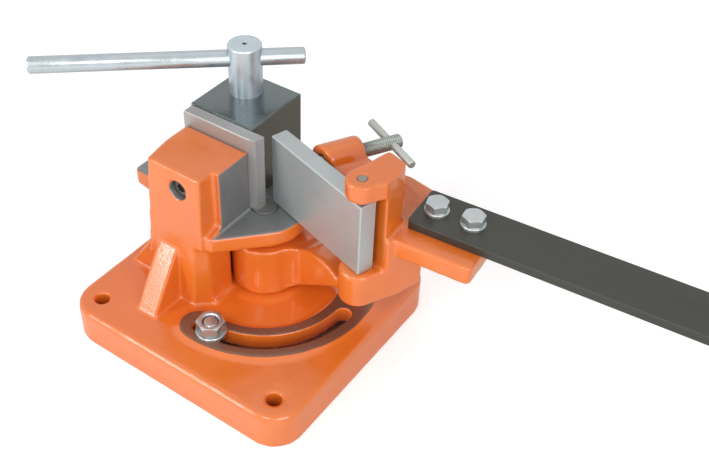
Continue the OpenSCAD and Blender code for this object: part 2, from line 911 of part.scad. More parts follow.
// Grub screw that locks the tommy bar from the spindle's top
module bar_grub_screw() {
    recess = 1;
    socket = 2.5;
    foot = spindle_top - tommy_drop + tommy_d / 2 + run_fit;
    length = spindle_top - recess - foot;
    color(black_steel)
        translate([spindle_x, spindle_y, foot])
            difference() {
                cylinder(d = grub_d() - 2 * run_fit, h = length);
                translate([0, 0, length / 2])
                    cylinder(d = socket / cos(30), h = length, $fn = 6);
            }
}

module spindle_washer() {
    color(zinc)
        translate([journal_x, journal_y, journal_foot - slide_gap - washer_t()])
            difference() {
                cylinder(d = 1.75 * journal_d, h = washer_t());
                translate([0, 0, -past])
                    cylinder(d = journal_d + 2 * run_fit, h = washer_t() + 2 * past);
            }
}

// Open retaining ring in the journal's groove
module spindle_circlip() {
    opening = 50;
    color(black_steel)
        translate([journal_x, journal_y, journal_foot - 2 * slide_gap - washer_t() - circlip_t()])
            rotate([0, 0, opening / 2])
                rotate_extrude(angle = 360 - opening)
                    translate([circlip_bore() / 2 + run_fit, 0])
                        square([3.5, circlip_t() - run_fit]);
}

// Arm

// Side view of the web, along the leaf and up
module web_profile() {
    foot = hub_bottom + pivot_boss_h;
    far = arm_left + 4;
    square_top = lug_bottom + 8;
    polygon([[0, foot], [hub_r, foot], [arm_left - 4, lug_bottom], [far, lug_bottom],
             [far, square_top], [hub_r + 12, square_top], [hub_r + 4, hub_top], [0, hub_top]]);
    intersection() {
        translate([(hub_r + 12 + far) / 2, web_top - web_arch_r])
            circle(web_arch_r);
        translate([hub_r + 12, lug_bottom])
            square([far - hub_r - 12, web_top]);
    }
}

// Web from above, widening from the hub to the wall's foot
module web_outline() {
    polygon([[0, web_front], [arm_left + 4, web_front], [arm_left + 4, wall_low_back],
             [pin_reach / 2, (web_back + wall_low_back) / 2], [0, web_back]]);
    web_fillet();
}

// Fillet in plan between the hub's round and the web's front face
module web_fillet() {
    away = web_front - web_fillet_r;
    along = sqrt(pow(hub_r + web_fillet_r, 2) - pow(away, 2));
    touch = hub_r / (hub_r + web_fillet_r);
    difference() {
        polygon([[hub_r / 2, web_front + bite], [along, web_front + bite], [along, away],
                 [along * touch, away * touch], [hub_r / 2, away * touch / 2]]);
        translate([along, away])
            circle(web_fillet_r);
    }
}

// Lower lug round the leaf pin and the foot of the wall, from above
module lower_lug_outline() {
    translate([pin_reach, pin_side])
        circle(lower_nose_r);
    polygon([[pin_reach - lower_nose_r, pin_side], [pin_reach + lower_nose_r, pin_side],
             [arm_right, wall_front + wall_depth / 2], [arm_right, wall_low_back],
             [arm_left, wall_low_back]]);
}

// Wall behind the leaf's outer end, from above
module wall_outline() {
    polygon([[arm_left, wall_front], [pin_reach + upper_nose_r + 3.5, wall_front],
             [pin_reach + 6, wall_back], [arm_left + 3, wall_back]]);
}

// Upper lug round the leaf pin, from above
module upper_lug_outline() {
    translate([pin_reach, pin_side])
        circle(upper_nose_r);
    polygon([[arm_left, pin_side], [pin_reach + upper_nose_r, pin_side],
             [pin_reach + upper_nose_r + 3.5, wall_front], [arm_left, wall_front]]);
    wall_outline();
}

// Shelf from the wall to the adjusting screw's boss, from above
module shelf_outline() {
    start = wall_front + 1;
    polygon([[screw_u - 8, start + 8], [screw_u - 4, start], [arm_left + bite, start],
             [arm_left + 4, wall_back], [screw_u + 30, wall_back + 8], [screw_u + 4, wall_back + 4]]);
}

// Handle lug from above, in the handle's own directions
module handle_lug_outline() {
    start = bar_start - 22;
    translate([start, handle_lug_front])
        round_rect([handle_lug_end - start, handle_lug_w], handle_lug_r);
}

// Boss of the adjusting screw, cut off beside the leaf, with a soft back edge
module screw_boss() {
    soft = 4;
    r = screw_boss_d / 2;
    intersection() {
        on_screw()
            rotate_extrude() {
                square([r, screw_boss_reach - soft]);
                square([r - soft, screw_boss_reach]);
                translate([r - soft, screw_boss_reach - soft])
                    circle(soft);
            }
        in_arm()
            translate([0, wall_front, 0])
                cube([pin_reach, screw_boss_reach + r, arm_top]);
    }
}

// Lug under the arm that strikes the stop's nut
module stop_lug() {
    width = 18;
    foot = pad_top + 1;
    top = lug_bottom + 6;
    in_arm()
        rotate([0, 0, stop_lug_angle])
            translate([0, 0, foot])
                rotate_extrude(angle = stop_lug_arc)
                    translate([slot_radius - width / 2, 0])
                        square([width, top - foot]);
}

module arm_casting() {
    color(paint)
        difference() {
            union() {
                in_arm() {
                    translate([0, 0, hub_bottom])
                        cylinder(d = hub_d, h = hub_height);
                    intersection() {
                        along_y(-hub_r, wall_low_back)
                            web_profile();
                        linear_extrude(arm_top)
                            web_outline();
                    }
                    translate([0, 0, lug_bottom])
                        linear_extrude(lower_lug_top - lug_bottom)
                            lower_lug_outline();
                    translate([0, 0, lower_lug_top - bite])
                        linear_extrude(arm_top - lower_lug_top + bite)
                            wall_outline();
                    translate([0, 0, upper_lug_bottom])
                        linear_extrude(upper_lug_t)
                            upper_lug_outline();
                    translate([0, 0, screw_z - shelf_t])
                        linear_extrude(shelf_t + 2)
                            shelf_outline();
                    // brace under the shelf
                    along_y(wall_front + 1, wall_front + 13)
                        polygon([[screw_u + 10, screw_z - shelf_t + bite],
                                 [arm_left + bite, table_top + 8],
                                 [arm_left + bite, screw_z - shelf_t + bite]]);
                    // shoulder of the wall behind the handle lug's root
                    translate([0, 0, lower_lug_top - bite])
                        linear_extrude(handle_lug_top - lower_lug_top + bite)
                            polygon([[arm_left, wall_front], [arm_right, wall_front],
                                     [arm_right, wall_low_back], [arm_left, wall_low_back]]);
                }
                in_handle()
                    translate([0, 0, handle_lug_bottom])
                        linear_extrude(handle_lug_t)
                            handle_lug_outline();
                screw_boss();
                stop_lug();
            }
            in_arm() {
                translate([0, 0, hub_bottom - past])
                    cylinder(d = pivot_pin_d + 2 * bush_wall, h = hub_height + 2 * past);
                translate([pin_reach, pin_side, lug_bottom + 4])
                    cylinder(d = leaf_pin_d, h = arm_top);
            }
            on_screw()
                cylinder(d = screw_d + 2 * run_fit, h = screw_boss_reach + past);
            in_handle()
                for (i = [0, 1])
                    translate([bar_start + bolt_inset + i * bolt_spacing, bar_side, handle_lug_bottom - past])
                        cylinder(d = bolt_d, h = handle_lug_t + 2 * past);
        }
}

module pivot_bush() {
    color(bronze)
        in_arm()
            translate([0, 0, hub_bottom])
                difference() {
                    cylinder(d = pivot_pin_d + 2 * bush_wall - 2 * run_fit, h = hub_height);
                    translate([0, 0, -past])
                        cylinder(d = pivot_pin_d + 2 * run_fit, h = hub_height + 2 * past);
                }
}

module leaf_pin() {
    color(ground_steel)
        in_arm()
            translate([pin_reach, pin_side, lug_bottom + 4])
                cylinder(d = leaf_pin_d - 2 * run_fit, h = arm_top - lug_bottom - 4);
}

// Flat handle bar with soft edges and round corners
module handle_bar() {
    color(black_steel)
        in_handle()
            difference() {
                intersection() {
                    translate([bar_start, bar_side - bar_width / 2, handle_lug_top])
                        linear_extrude(bar_thickness)
                            round_rect([bar_length, bar_width], bar_corner_r);
                    along_x(bar_start, bar_start + bar_length)
                        translate([bar_side - bar_width / 2, handle_lug_top])
                            round_rect([bar_width, bar_thickness], bar_edge_r);
                }
                for (i = [0, 1])
                    translate([bar_start + bolt_inset + i * bolt_spacing, bar_side, handle_lug_top - past])
                        cylinder(d = bolt_d + 1, h = bar_thickness + 2 * past);
            }
}

// Hexagon bolts that hold the bar to the handle lug
module handle_bolts() {
    seat = handle_lug_top + bar_thickness + bolt_washer_h;
    color(zinc)
        in_handle()
            for (i = [0, 1])
                translate([bar_start + bolt_inset + i * bolt_spacing, bar_side, seat]) {
                    hex_body(bolt_flats, bolt_head_h);
                    translate([0, 0, handle_lug_bottom - seat])
                        cylinder(d = bolt_d - 2 * run_fit, h = seat - handle_lug_bottom + bite);
                }
}

module handle_washers() {
    color(zinc)
        in_handle()
            for (i = [0, 1])
                translate([bar_start + bolt_inset + i * bolt_spacing, bar_side, handle_lug_top + bar_thickness])
                    difference() {
                        cylinder(d = bolt_washer_d, h = bolt_washer_h);
                        translate([0, 0, -past])
                            cylinder(d = bolt_d + 1, h = bolt_washer_h + 2 * past);
                    }
}

// Bending leaf: ground steel, hinged at its outer end
module bending_leaf() {
    chamfer = 1;
    color(ground_steel)
        in_arm()
            difference() {
                translate([-leaf_overhang, leaf_offset, leaf_bottom])
                    intersection() {
                        chamfered_block([leaf_length, leaf_thickness, leaf_height], chamfer);
                        linear_extrude(leaf_height) {
                            translate([leaf_end_r, 0])
                                square([leaf_length - leaf_end_r, leaf_thickness]);
                            square([leaf_end_r, leaf_thickness - leaf_end_r]);
                            translate([leaf_end_r, leaf_thickness - leaf_end_r])
                                circle(leaf_end_r);
                        }
                    }
                translate([pin_reach, pin_side, leaf_bottom - past])
                    cylinder(d = leaf_pin_d + 2 * run_fit, h = leaf_height + 2 * past);
            }
}

// Adjusting screw

// Domed pad that the screw turns in and that bears on the leaf's back
module thrust_pad() {
    color(zinc)
        on_screw()
            translate([0, 0, pad_centre])
                difference() {
                    union() {
                        sphere(pad_r);
                        cylinder(r = pad_r, h = pad_length);
                    }
                    translate([0, 0, pad_length - spigot_length])
                        cylinder(d = spigot_d + 2 * run_fit, h = spigot_length + past);
                    translate([0, 0, pad_length])
                        cylinder(r = 2 * pad_r, h = pad_r + past);
                }
}

module adjusting_screw() {
    soft = 2;
    length = screw_end - screw_start;
    color(zinc)
        on_screw()
            difference() {
                translate([0, 0, screw_start]) {
                    rotate_extrude()
                        polygon([[0, 0], [screw_d / 2 - soft / 2, 0], [screw_d / 2, soft / 2],
                                 [screw_d / 2, length - soft], [screw_d / 2 - soft, length], [0, length]]);
                    translate([0, 0, slide_gap - spigot_length])
                        cylinder(d = spigot_d, h = spigot_length);
                }
                translate([0, 0, screw_pin_at])
                    rotate([90, 0, screw_pin_tilt])
                        cylinder(d = screw_pin_d, h = 2 * screw_d, center = true);
            }
}

module screw_tommy_pin() {
    chamfer = 0.6;
    r = screw_pin_d / 2 - run_fit;
    color(zinc)
        on_screw()
            translate([0, 0, screw_pin_at])
                rotate([90, 0, screw_pin_tilt])
                    translate([0, 0, -screw_pin_length / 2])
                        rotate_extrude()
                            polygon([[0, 0], [r - chamfer, 0], [r, chamfer], [r, screw_pin_length - chamfer],
                                     [r - chamfer, screw_pin_length], [0, screw_pin_length]]);
}

// Angle stop

module stop_bolt() {
    under = stop_floor - slide_gap;
    recess = 2;
    color(zinc)
        at_stop() {
            translate([0, 0, under - stop_head_h])
                cylinder(d = stop_across, h = stop_head_h, $fn = 6);
            translate([0, 0, under - bite])
                cylinder(d = stop_bolt_d - 2 * run_fit, h = stop_nut_z + stop_nut_h - recess - under + bite);
        }
}

module stop_washer() {
    color(zinc)
        at_stop()
            translate([0, 0, pad_top + run_fit])
                difference() {
                    cylinder(d = stop_washer_d, h = stop_washer_h - run_fit);
                    translate([0, 0, -past])
                        cylinder(d = stop_bolt_d + 1, h = stop_washer_h + 2 * past);
                }
}

module stop_nut() {
    color(zinc)
        at_stop()
            translate([0, 0, stop_nut_z])
                difference() {
                    hex_body(stop_flats, stop_nut_h);
                    translate([0, 0, -past])
                        cylinder(d = stop_bolt_d, h = stop_nut_h + 2 * past);
                }
}

base_casting();
pivot_pin();
jaw_plate();
jaw_screw();
clamp_block();
guide_key();
eccentric_spindle();
tommy_bar();
bar_grub_screw();
spindle_washer();
spindle_circlip();
arm_casting();
pivot_bush();
leaf_pin();
handle_bar();
handle_bolts();
handle_washers();
bending_leaf();
thrust_pad();
adjusting_screw();
screw_tommy_pin();
stop_bolt();
stop_washer();
stop_nut();
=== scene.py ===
import json
import math

import bmesh
import bpy
import numpy as np
from mathutils import Matrix, Vector, noise


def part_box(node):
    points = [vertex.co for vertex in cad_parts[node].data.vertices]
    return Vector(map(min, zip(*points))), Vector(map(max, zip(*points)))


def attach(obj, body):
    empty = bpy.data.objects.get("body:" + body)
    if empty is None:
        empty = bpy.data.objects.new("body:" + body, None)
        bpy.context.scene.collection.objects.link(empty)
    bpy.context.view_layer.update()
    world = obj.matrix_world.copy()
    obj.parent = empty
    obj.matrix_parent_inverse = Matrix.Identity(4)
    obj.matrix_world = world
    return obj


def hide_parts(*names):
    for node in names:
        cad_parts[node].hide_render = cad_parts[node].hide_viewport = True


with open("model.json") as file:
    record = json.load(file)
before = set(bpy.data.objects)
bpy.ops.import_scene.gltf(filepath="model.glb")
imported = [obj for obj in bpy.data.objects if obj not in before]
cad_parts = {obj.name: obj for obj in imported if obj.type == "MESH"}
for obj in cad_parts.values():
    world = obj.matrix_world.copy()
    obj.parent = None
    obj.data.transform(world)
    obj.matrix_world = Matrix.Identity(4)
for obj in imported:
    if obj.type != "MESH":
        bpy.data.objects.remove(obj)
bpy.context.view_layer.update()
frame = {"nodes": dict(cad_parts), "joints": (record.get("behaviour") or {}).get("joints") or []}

# Base casting
# One grey-iron sand casting is the foot, column, table and head. It is sprayed with orange gloss
# enamel, and then the table's top, the head's right face and the stop's pad are milled bare.
base_grain = 0.0013
base_rounds = 7
joints = {joint["name"]: joint for joint in frame["joints"]}
pivot_place = Vector(joints["arm_swing"]["pos_m"])
pivot_rim = 0.013
boss_reach = 0.08
table_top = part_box("pivot_pin")[1].z
stop_pad_top = 0.041
stop_pad_flat = 0.0157
stop_slot_radius = 0.0915
stop_pad_start = math.radians(-94)
stop_pad_end = math.radians(14)
head_front = -0.048
head_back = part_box("jaw_plate")[0].y
head_left = -0.0765
milled_face_x = -0.007
milled_face_front = -0.0295
milled_depth = 0.0006
milled_turn = 0.8
milled_firmness = 0.93
crease_front = -0.034
crease_reach = 0.0022
counterbore_radius = 0.0094
gusset_face = (-0.054, -0.072, 0.07)
gusset_reach = 0.045
gusset_firmness = 0.6
gusset_sand_reach = 0.04
gusset_sand_depth = 1.6
head_bulge = 0.005
end_trim = 0.0025
end_sag = 0.004
# A span is where a change of the shape starts, and where it is full.
bulge_left = (-0.045, -0.065)
bulge_rear = (head_front, head_front + 0.03)
bulge_high = (table_top + 0.005, table_top + 0.035)
end_front = (0.03, 0.01)
end_high = (0.095, 0.106)
end_tip = (-0.105, -0.125)
end_under = (0.118, 0.106)
sag_from_tip = (-0.126, -0.106)
sag_from_head = (head_left, head_left - 0.003)
enamel_orange = "#E3792C"
enamel_deep = "#D9671E"
milled_dark = "#757678"
milled_light = "#929394"
milled_shine = 0.55
milled_rough = 0.42
# The pad's brown is partly a painted reflection of the orange enamel round it.
pad_rub_and_reflection_dark = "#744F3D"
pad_rub_and_reflection_light = "#8E6550"


def linear(hex_colour):
    """An sRGB hex colour as a linear one."""
    parts = [int(hex_colour[i:i + 2], 16) / 255 for i in (1, 3, 5)]
    return [c / 12.92 if c <= 0.04045 else ((c + 0.055) / 1.055) ** 2.4 for c in parts] + [1.0]


def feed(tree, node, sockets):
    """Gives the sockets of a shader node their values, or the outputs that feed them."""
    for key, value in sockets.items():
        if isinstance(value, bpy.types.NodeSocket):
            tree.links.new(value, node.inputs[key])
        else:
            node.inputs[key].default_value = value


def add_node(tree, kind, sockets=None, **settings):
    """Adds a shader node with its settings, values and links."""
    node = tree.nodes.new(kind)
    for key, value in settings.items():
        setattr(node, key, value)
    feed(tree, node, sockets or {})
    return node


def new_material(name):
    """A named material with its node tree, its surface shader and its coordinates."""
    material = bpy.data.materials.new(name)
    material.use_nodes = True
    tree = material.node_tree
    return material, tree, tree.nodes["Principled BSDF"], add_node(tree, "ShaderNodeTexCoord")


def add_piece(name, mesh, material, body, slot, *nodes):
    """Puts a mesh into the scene as a piece that rides on a body and stands for CAD nodes."""
    piece = bpy.data.objects.new(name, mesh)
    bpy.context.scene.collection.objects.link(piece)
    mesh.materials.clear()
    mesh.materials.append(material)
    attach(piece, body)
    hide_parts(*nodes)


def worked(mesh, name, tool, **settings):
    """What one of Blender's modelling tools makes of a mesh."""
    blank = bpy.data.objects.new(name, mesh)
    bpy.context.scene.collection.objects.link(blank)
    modifier = blank.modifiers.new(name, tool)
    for key, value in settings.items():
        setattr(modifier, key, value)
    settled = blank.evaluated_get(bpy.context.evaluated_depsgraph_get())
    result = bpy.data.meshes.new_from_object(settled)
    result.name = name
    bpy.data.objects.remove(blank)
    return result


def soft_casting(node, grain, rounds, firmness, swell):
    """A cast node's mesh with its edges rounded as a sand mould leaves them. firmness says for each
    point how much of its sharpness it keeps, and swell how far the mould gave way."""
    settling = 0.6
    ripple_size = 0.014
    ripple_height = 0.00016
    cad_mesh = frame["nodes"][node].data.copy()
    mesh = worked(cad_mesh, node + "_cast", "REMESH", mode="VOXEL", voxel_size=grain)
    count = len(mesh.vertices)
    points = np.empty(count * 3)
    mesh.vertices.foreach_get("co", points)
    points = points.reshape(-1, 3)
    points += swell(points)
    ends = np.empty(len(mesh.edges) * 2, int)
    mesh.edges.foreach_get("vertices", ends)
    first, second = ends.reshape(-1, 2).T
    degree = np.bincount(ends, minlength=count)
    softness = (1 - firmness(points))[:, None]
    for _ in range(rounds):
        total = np.stack([np.bincount(first, points[second, k], count)
                          + np.bincount(second, points[first, k], count) for k in range(3)], 1)
        points += settling * softness * (total / degree[:, None] - points)
    mesh.vertices.foreach_set("co", points.ravel())
    mesh.update()
    normals = np.empty(count * 3)
    mesh.vertices.foreach_get("normal", normals)
    ripple = np.array([noise.noise(Vector(point) / ripple_size) for point in points])
    points += ripple_height * ripple[:, None] * softness * normals.reshape(-1, 3)
    mesh.vertices.foreach_set("co", points.ravel())
    mesh.shade_smooth()
    mesh.update()
    return mesh


def ramp(values, span):
    """0 before a span's start, 1 past its end, and even in between."""
    start, end = span
    return np.clip((values - start) / (end - start), 0, 1)


def firm_base(points):
    """Milled faces keep their sharp edges: the table's top, the head's face and the stop's pad. The
    front gusset was ground flat before painting, so it keeps more of them than the rest."""
    reach = 0.0025
    x, y, z = points.T
    in_head = (x > head_left - reach) & (x < milled_face_x - reach) & (y < head_back - reach)
    top = (np.abs(z - table_top) < reach) & ~in_head
    face = (np.abs(x - milled_face_x) < reach) & (z > table_top - reach)
    turn = np.arctan2(y - pivot_place.y, x - pivot_place.x)
    turn = np.clip(turn, stop_pad_start, stop_pad_end)
    from_slot = np.hypot(x - pivot_place.x - stop_slot_radius * np.cos(turn),
                         y - pivot_place.y - stop_slot_radius * np.sin(turn))
    pad = (np.abs(z - stop_pad_top) < reach) & (from_slot < stop_pad_flat)
    gusset = np.linalg.norm(points - np.array(gusset_face), axis=1) < gusset_reach
    return np.maximum(milled_firmness * (top | face | pad), gusset_firmness * gusset)


def swollen_head(points):
    """The mould gave way a little at the head's left side, more so towards the back and the top. The
    table's left end is a little short at its front, and sags there on its underside."""
    reach = 0.003
    x, y, z = points.T
    bulge = ramp(x, bulge_left) * ramp(y, bulge_rear) * ramp(z, bulge_high)
    end = ramp(y, end_front) * ramp(z, end_high)
    trim = end * ramp(x, end_tip) * (z < table_top + reach)
    sag = end * ramp(z, end_under) * ramp(x, sag_from_tip) * ramp(x, sag_from_head)
    sideways = end_trim * trim - head_bulge * bulge
    return np.stack([sideways, np.zeros(len(points)), -end_sag * sag], 1)


def orange_enamel(name, sandy_place, sandy_reach, sandy_depth):
    """Gloss enamel sprayed on a sand casting: a strong orange, with the sand's grain and small runs
    showing through it in the gloss, most of all round one place that was left rough. Sand grains of
    about 0.4 mm are drawn at 2 mm so that they show. Returns what a milled face mixes with too."""
    material, tree, surface, coordinate = new_material(name)
    place = coordinate.outputs["Object"]
    grit = add_node(tree, "ShaderNodeTexNoise",
                    {"Vector": place, "Scale": 1 / 0.002, "Detail": 2.0, "Roughness": 0.6})
    peel = add_node(tree, "ShaderNodeTexNoise", {"Vector": place, "Scale": 1 / 0.006, "Detail": 1.0})
    patch = add_node(tree, "ShaderNodeTexNoise", {"Vector": place, "Scale": 1 / 0.045, "Detail": 2.0})
    rough_patch = add_node(tree, "ShaderNodeMapRange",
                           {"Value": patch.outputs["Fac"], "From Min": 0.3, "From Max": 0.75,
                            "To Min": 0.2, "To Max": 1.0}, interpolation_type="SMOOTHERSTEP")
    away = add_node(tree, "ShaderNodeVectorMath", {0: place, 1: sandy_place}, operation="DISTANCE")
    sandy = add_node(tree, "ShaderNodeMapRange",
                     {"Value": away.outputs["Value"], "From Min": sandy_reach,
                      "From Max": sandy_reach / 2, "To Min": 0.0, "To Max": sandy_depth},
                     interpolation_type="SMOOTHERSTEP")
    grit_depth = add_node(tree, "ShaderNodeMath",
                          {0: rough_patch.outputs["Result"], 1: sandy.outputs["Result"]}, operation="ADD")
    height = add_node(tree, "ShaderNodeMath",
                      {0: grit.outputs["Fac"], 1: grit_depth.outputs["Value"], 2: peel.outputs["Fac"]},
                      operation="MULTIPLY_ADD")
    colour = add_node(tree, "ShaderNodeMix",
                      {"Factor": patch.outputs["Fac"], "A": linear(enamel_deep),
                       "B": linear(enamel_orange)}, data_type="RGBA")
    gloss = add_node(tree, "ShaderNodeMapRange",
                     {"Value": patch.outputs["Fac"], "From Min": 0.3, "From Max": 0.7,
                      "To Min": 0.14, "To Max": 0.26})
    bump = add_node(tree, "ShaderNodeBump",
                    {"Strength": 0.5, "Distance": 0.00025, "Height": height.outputs["Value"]})
    feed(tree, surface, {"Base Color": colour.outputs["Result"], "Roughness": gloss.outputs["Result"],
                         "Normal": bump.outputs["Normal"], "IOR": 1.5, "Specular IOR Level": 0.9})
    return material, tree, surface, coordinate, colour, gloss, height, bump


def all_of(tree, *masks):
    """A mask that is 1 where each of the given ones is 1."""
    whole = masks[0].outputs["Value"]
    for mask in masks[1:]:
        both = add_node(tree, "ShaderNodeMath", {0: whole, 1: mask.outputs["Value"]}, operation="MULTIPLY")
        whole = both.outputs["Value"]
    return whole


base_mesh = soft_casting("base_casting", base_grain, base_rounds, firm_base, swollen_head)
(base_paint, tree, surface, coordinate, paint_colour, paint_gloss, paint_height, bump) = orange_enamel(
    "orange_enamel_and_milled_iron", gusset_face, gusset_sand_reach, gusset_sand_depth)
place = coordinate.outputs["Object"]
spot = add_node(tree, "ShaderNodeSeparateXYZ", {"Vector": place})
facing = add_node(tree, "ShaderNodeSeparateXYZ", {"Vector": coordinate.outputs["Normal"]})
bare_places = []
for axis, plane, above in (("Z", table_top, 0), ("Z", stop_pad_top, 0), ("X", milled_face_x, table_top)):
    on_plane = add_node(tree, "ShaderNodeMath",
                        {0: spot.outputs[axis], 1: plane, 2: milled_depth}, operation="COMPARE")
    turned = add_node(tree, "ShaderNodeMath",
                      {0: facing.outputs[axis], 1: milled_turn}, operation="GREATER_THAN")
    high = add_node(tree, "ShaderNodeMath", {0: spot.outputs["Z"], 1: above}, operation="GREATER_THAN")
    bare_places.append(all_of(tree, on_plane, turned, high))
# The counterbore, the crease between table and head, and the rim round the pivot pin are bare too.
screw_low, screw_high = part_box("jaw_screw")
screw_middle = (screw_low + screw_high) / 2
rim_depth = 0.004
for axes, middle, reach, axis, beyond in (
        ((1, 0, 1), (screw_middle.x, 0, screw_middle.z), counterbore_radius, "Y", head_front),
        ((1, 0, 1), (milled_face_x, 0, table_top), crease_reach, "Y", crease_front),
        ((1, 1, 0), (pivot_place.x, pivot_place.y, 0), pivot_rim, "Z", table_top - rim_depth)):
    across = add_node(tree, "ShaderNodeVectorMath", {0: place, 1: axes}, operation="MULTIPLY")
    away = add_node(tree, "ShaderNodeVectorMath",
                    {0: across.outputs["Vector"], 1: middle}, operation="DISTANCE")
    near = add_node(tree, "ShaderNodeMath", {0: away.outputs["Value"], 1: reach}, operation="LESS_THAN")
    past = add_node(tree, "ShaderNodeMath", {0: spot.outputs[axis], 1: beyond}, operation="GREATER_THAN")
    bare_places.append(all_of(tree, near, past))
bare = 0.0
for bare_place in bare_places:
    either = add_node(tree, "ShaderNodeMath", {0: bare, 1: bare_place}, operation="MAXIMUM")
    bare = either.outputs["Value"]
# Round the pivot only what is as high as the table is bare.
from_pivot = add_node(tree, "ShaderNodeVectorMath", {0: place, 1: (pivot_place.x, pivot_place.y, 0)},
                      operation="DISTANCE")
past_boss = add_node(tree, "ShaderNodeMath",
                     {0: from_pivot.outputs["Value"], 1: boss_reach}, operation="GREATER_THAN")
bare = all_of(tree, either, past_boss)
# The foot of the rib in front of the milled face keeps its paint.
rib_foot_height = 0.003
rib_side = add_node(tree, "ShaderNodeMath", {0: spot.outputs["X"], 1: milled_face_x}, operation="LESS_THAN")
rib_front = add_node(tree, "ShaderNodeMath",
                     {0: spot.outputs["Y"], 1: milled_face_front}, operation="LESS_THAN")
on_table = add_node(tree, "ShaderNodeMath",
                    {0: spot.outputs["Z"], 1: table_top, 2: rib_foot_height}, operation="COMPARE")
milled = add_node(tree, "ShaderNodeMath", {0: bare, 1: all_of(tree, rib_side, rib_front, on_table)},
                  operation="SUBTRACT", use_clamp=True).outputs["Value"]
# Cutter marks lie across the table about 0.7 mm apart, drawn at 1.2 mm so that they show.
cutter_marks = add_node(tree, "ShaderNodeMapping",
                        {"Vector": place, "Scale": (1 / 0.05, 1 / 0.0012, 1 / 0.03)})
marks = add_node(tree, "ShaderNodeTexNoise",
                 {"Vector": cutter_marks.outputs["Vector"], "Scale": 1.0, "Detail": 3.0})
grey = add_node(tree, "ShaderNodeMix",
                {"Factor": marks.outputs["Fac"], "A": linear(milled_dark), "B": linear(milled_light)},
                data_type="RGBA")
# The stop's pad is browner than the table: iron rubbed by the washer and never polished, with a painted
# reflection of the orange enamel round it in its colour.
rub_and_reflection_brown = add_node(tree, "ShaderNodeMix",
                 {"Factor": marks.outputs["Fac"], "A": linear(pad_rub_and_reflection_dark), "B": linear(pad_rub_and_reflection_light)},
                 data_type="RGBA")
over_pad = add_node(tree, "ShaderNodeMath",
                    {0: spot.outputs["Z"], 1: (stop_pad_top + table_top) / 2}, operation="GREATER_THAN")
iron = add_node(tree, "ShaderNodeMix",
                {"Factor": over_pad.outputs["Value"], "A": rub_and_reflection_brown.outputs["Result"],
                 "B": grey.outputs["Result"]}, data_type="RGBA")
# Graphite in the iron keeps a milled face half matt, and its marks are shallower than the sand's.
mark_depth = 0.25
iron_height = add_node(tree, "ShaderNodeMath",
                       {0: marks.outputs["Fac"], 1: mark_depth}, operation="MULTIPLY")
shine = add_node(tree, "ShaderNodeMath", {0: milled, 1: milled_shine}, operation="MULTIPLY")
colour = add_node(tree, "ShaderNodeMix",
                  {"Factor": milled, "A": paint_colour.outputs["Result"], "B": iron.outputs["Result"]},
                  data_type="RGBA")
gloss = add_node(tree, "ShaderNodeMix",
                 {"Factor": milled, "A": paint_gloss.outputs["Result"], "B": milled_rough})
height = add_node(tree, "ShaderNodeMix",
                  {"Factor": milled, "A": paint_height.outputs["Value"], "B": iron_height.outputs["Value"]})
feed(tree, bump, {"Height": height.outputs["Result"]})
feed(tree, surface, {"Base Color": colour.outputs["Result"], "Metallic": shine.outputs["Value"],
                     "Roughness": gloss.outputs["Result"]})
add_piece("base_casting_painted", base_mesh, base_paint, "base", "orange_paint", "base_casting")

# Pivot pin
# A ground steel pin is pressed down through the table's nose and the foot. The arm swings on it.
# Its end was faced off with the table, so only the thin ring of its chamfer shows there.
pin_chamfer = 0.0006
edge_angle = math.radians(28)


def crisp(mesh):
    """Gives a mesh smooth faces and sharp edges."""
    mesh.shade_smooth()
    mesh.set_sharp_from_angle(angle=edge_angle)
    return mesh


def ringed(name, rings, closed=False, sides=72):
    """A mesh of rings round the Z axis, from the bottom's middle out, up and in again. Each ring has a
    radius and a height, the same all round or one for each side. A closed mesh has a bore."""
    turn = np.arange(sides) * 2 * math.pi / sides
    points, loops, faces = [], [], []
    for radius, height in rings:
        radius = np.broadcast_to(radius, sides)
        height = np.broadcast_to(height, sides)
        if radius.max() == 0:
            loops.append([len(points)] * sides)
            points.append((0, 0, height[0]))
        else:
            loops.append(list(range(len(points), len(points) + sides)))
            points += zip(radius * np.cos(turn), radius * np.sin(turn), height)
    steps = list(zip(loops, loops[1:]))
    if closed:
        steps.append((loops[-1], loops[0]))
    for low, high in steps:
        for k in range(sides):
            after = (k + 1) % sides
            faces.append(list(dict.fromkeys((low[k], low[after], high[after], high[k]))))
    mesh = bpy.data.meshes.new(name)
    mesh.from_pydata(points, [], faces)
    return crisp(mesh)


def bevelled_rod(name, radius, length, bevel):
    """A turned rod that stands on the XY plane, with both ends bevelled and a soft corner."""
    return ringed(name, [(0, 0), (radius - bevel, 0), (radius - bevel / 4, bevel / 2), (radius, bevel),
                         (radius, length - bevel), (radius - bevel / 4, length - bevel / 2),
                         (radius - bevel, length), (0, length)])


def stand(mesh, foot, along=(0, 0, 1), turn=0):
    """Moves a mesh from the XY plane to where it belongs, with its Z axis along a direction."""
    upright = Vector(along).to_track_quat("Z", "Y").to_matrix().to_4x4()
    mesh.transform(Matrix.Translation(foot) @ upright @ Matrix.Rotation(turn, 4, "Z"))
    return mesh


def foot_of(node):
    """The middle of the underside of a node."""
    low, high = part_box(node)
    return Vector(((low.x + high.x) / 2, (low.y + high.y) / 2, low.z))


def upright_pin(name, node, bevel):
    """A turned pin with the size and place of an upright node."""
    low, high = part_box(node)
    return stand(bevelled_rod(name, (high.x - low.x) / 2, high.z - low.z, bevel), foot_of(node))


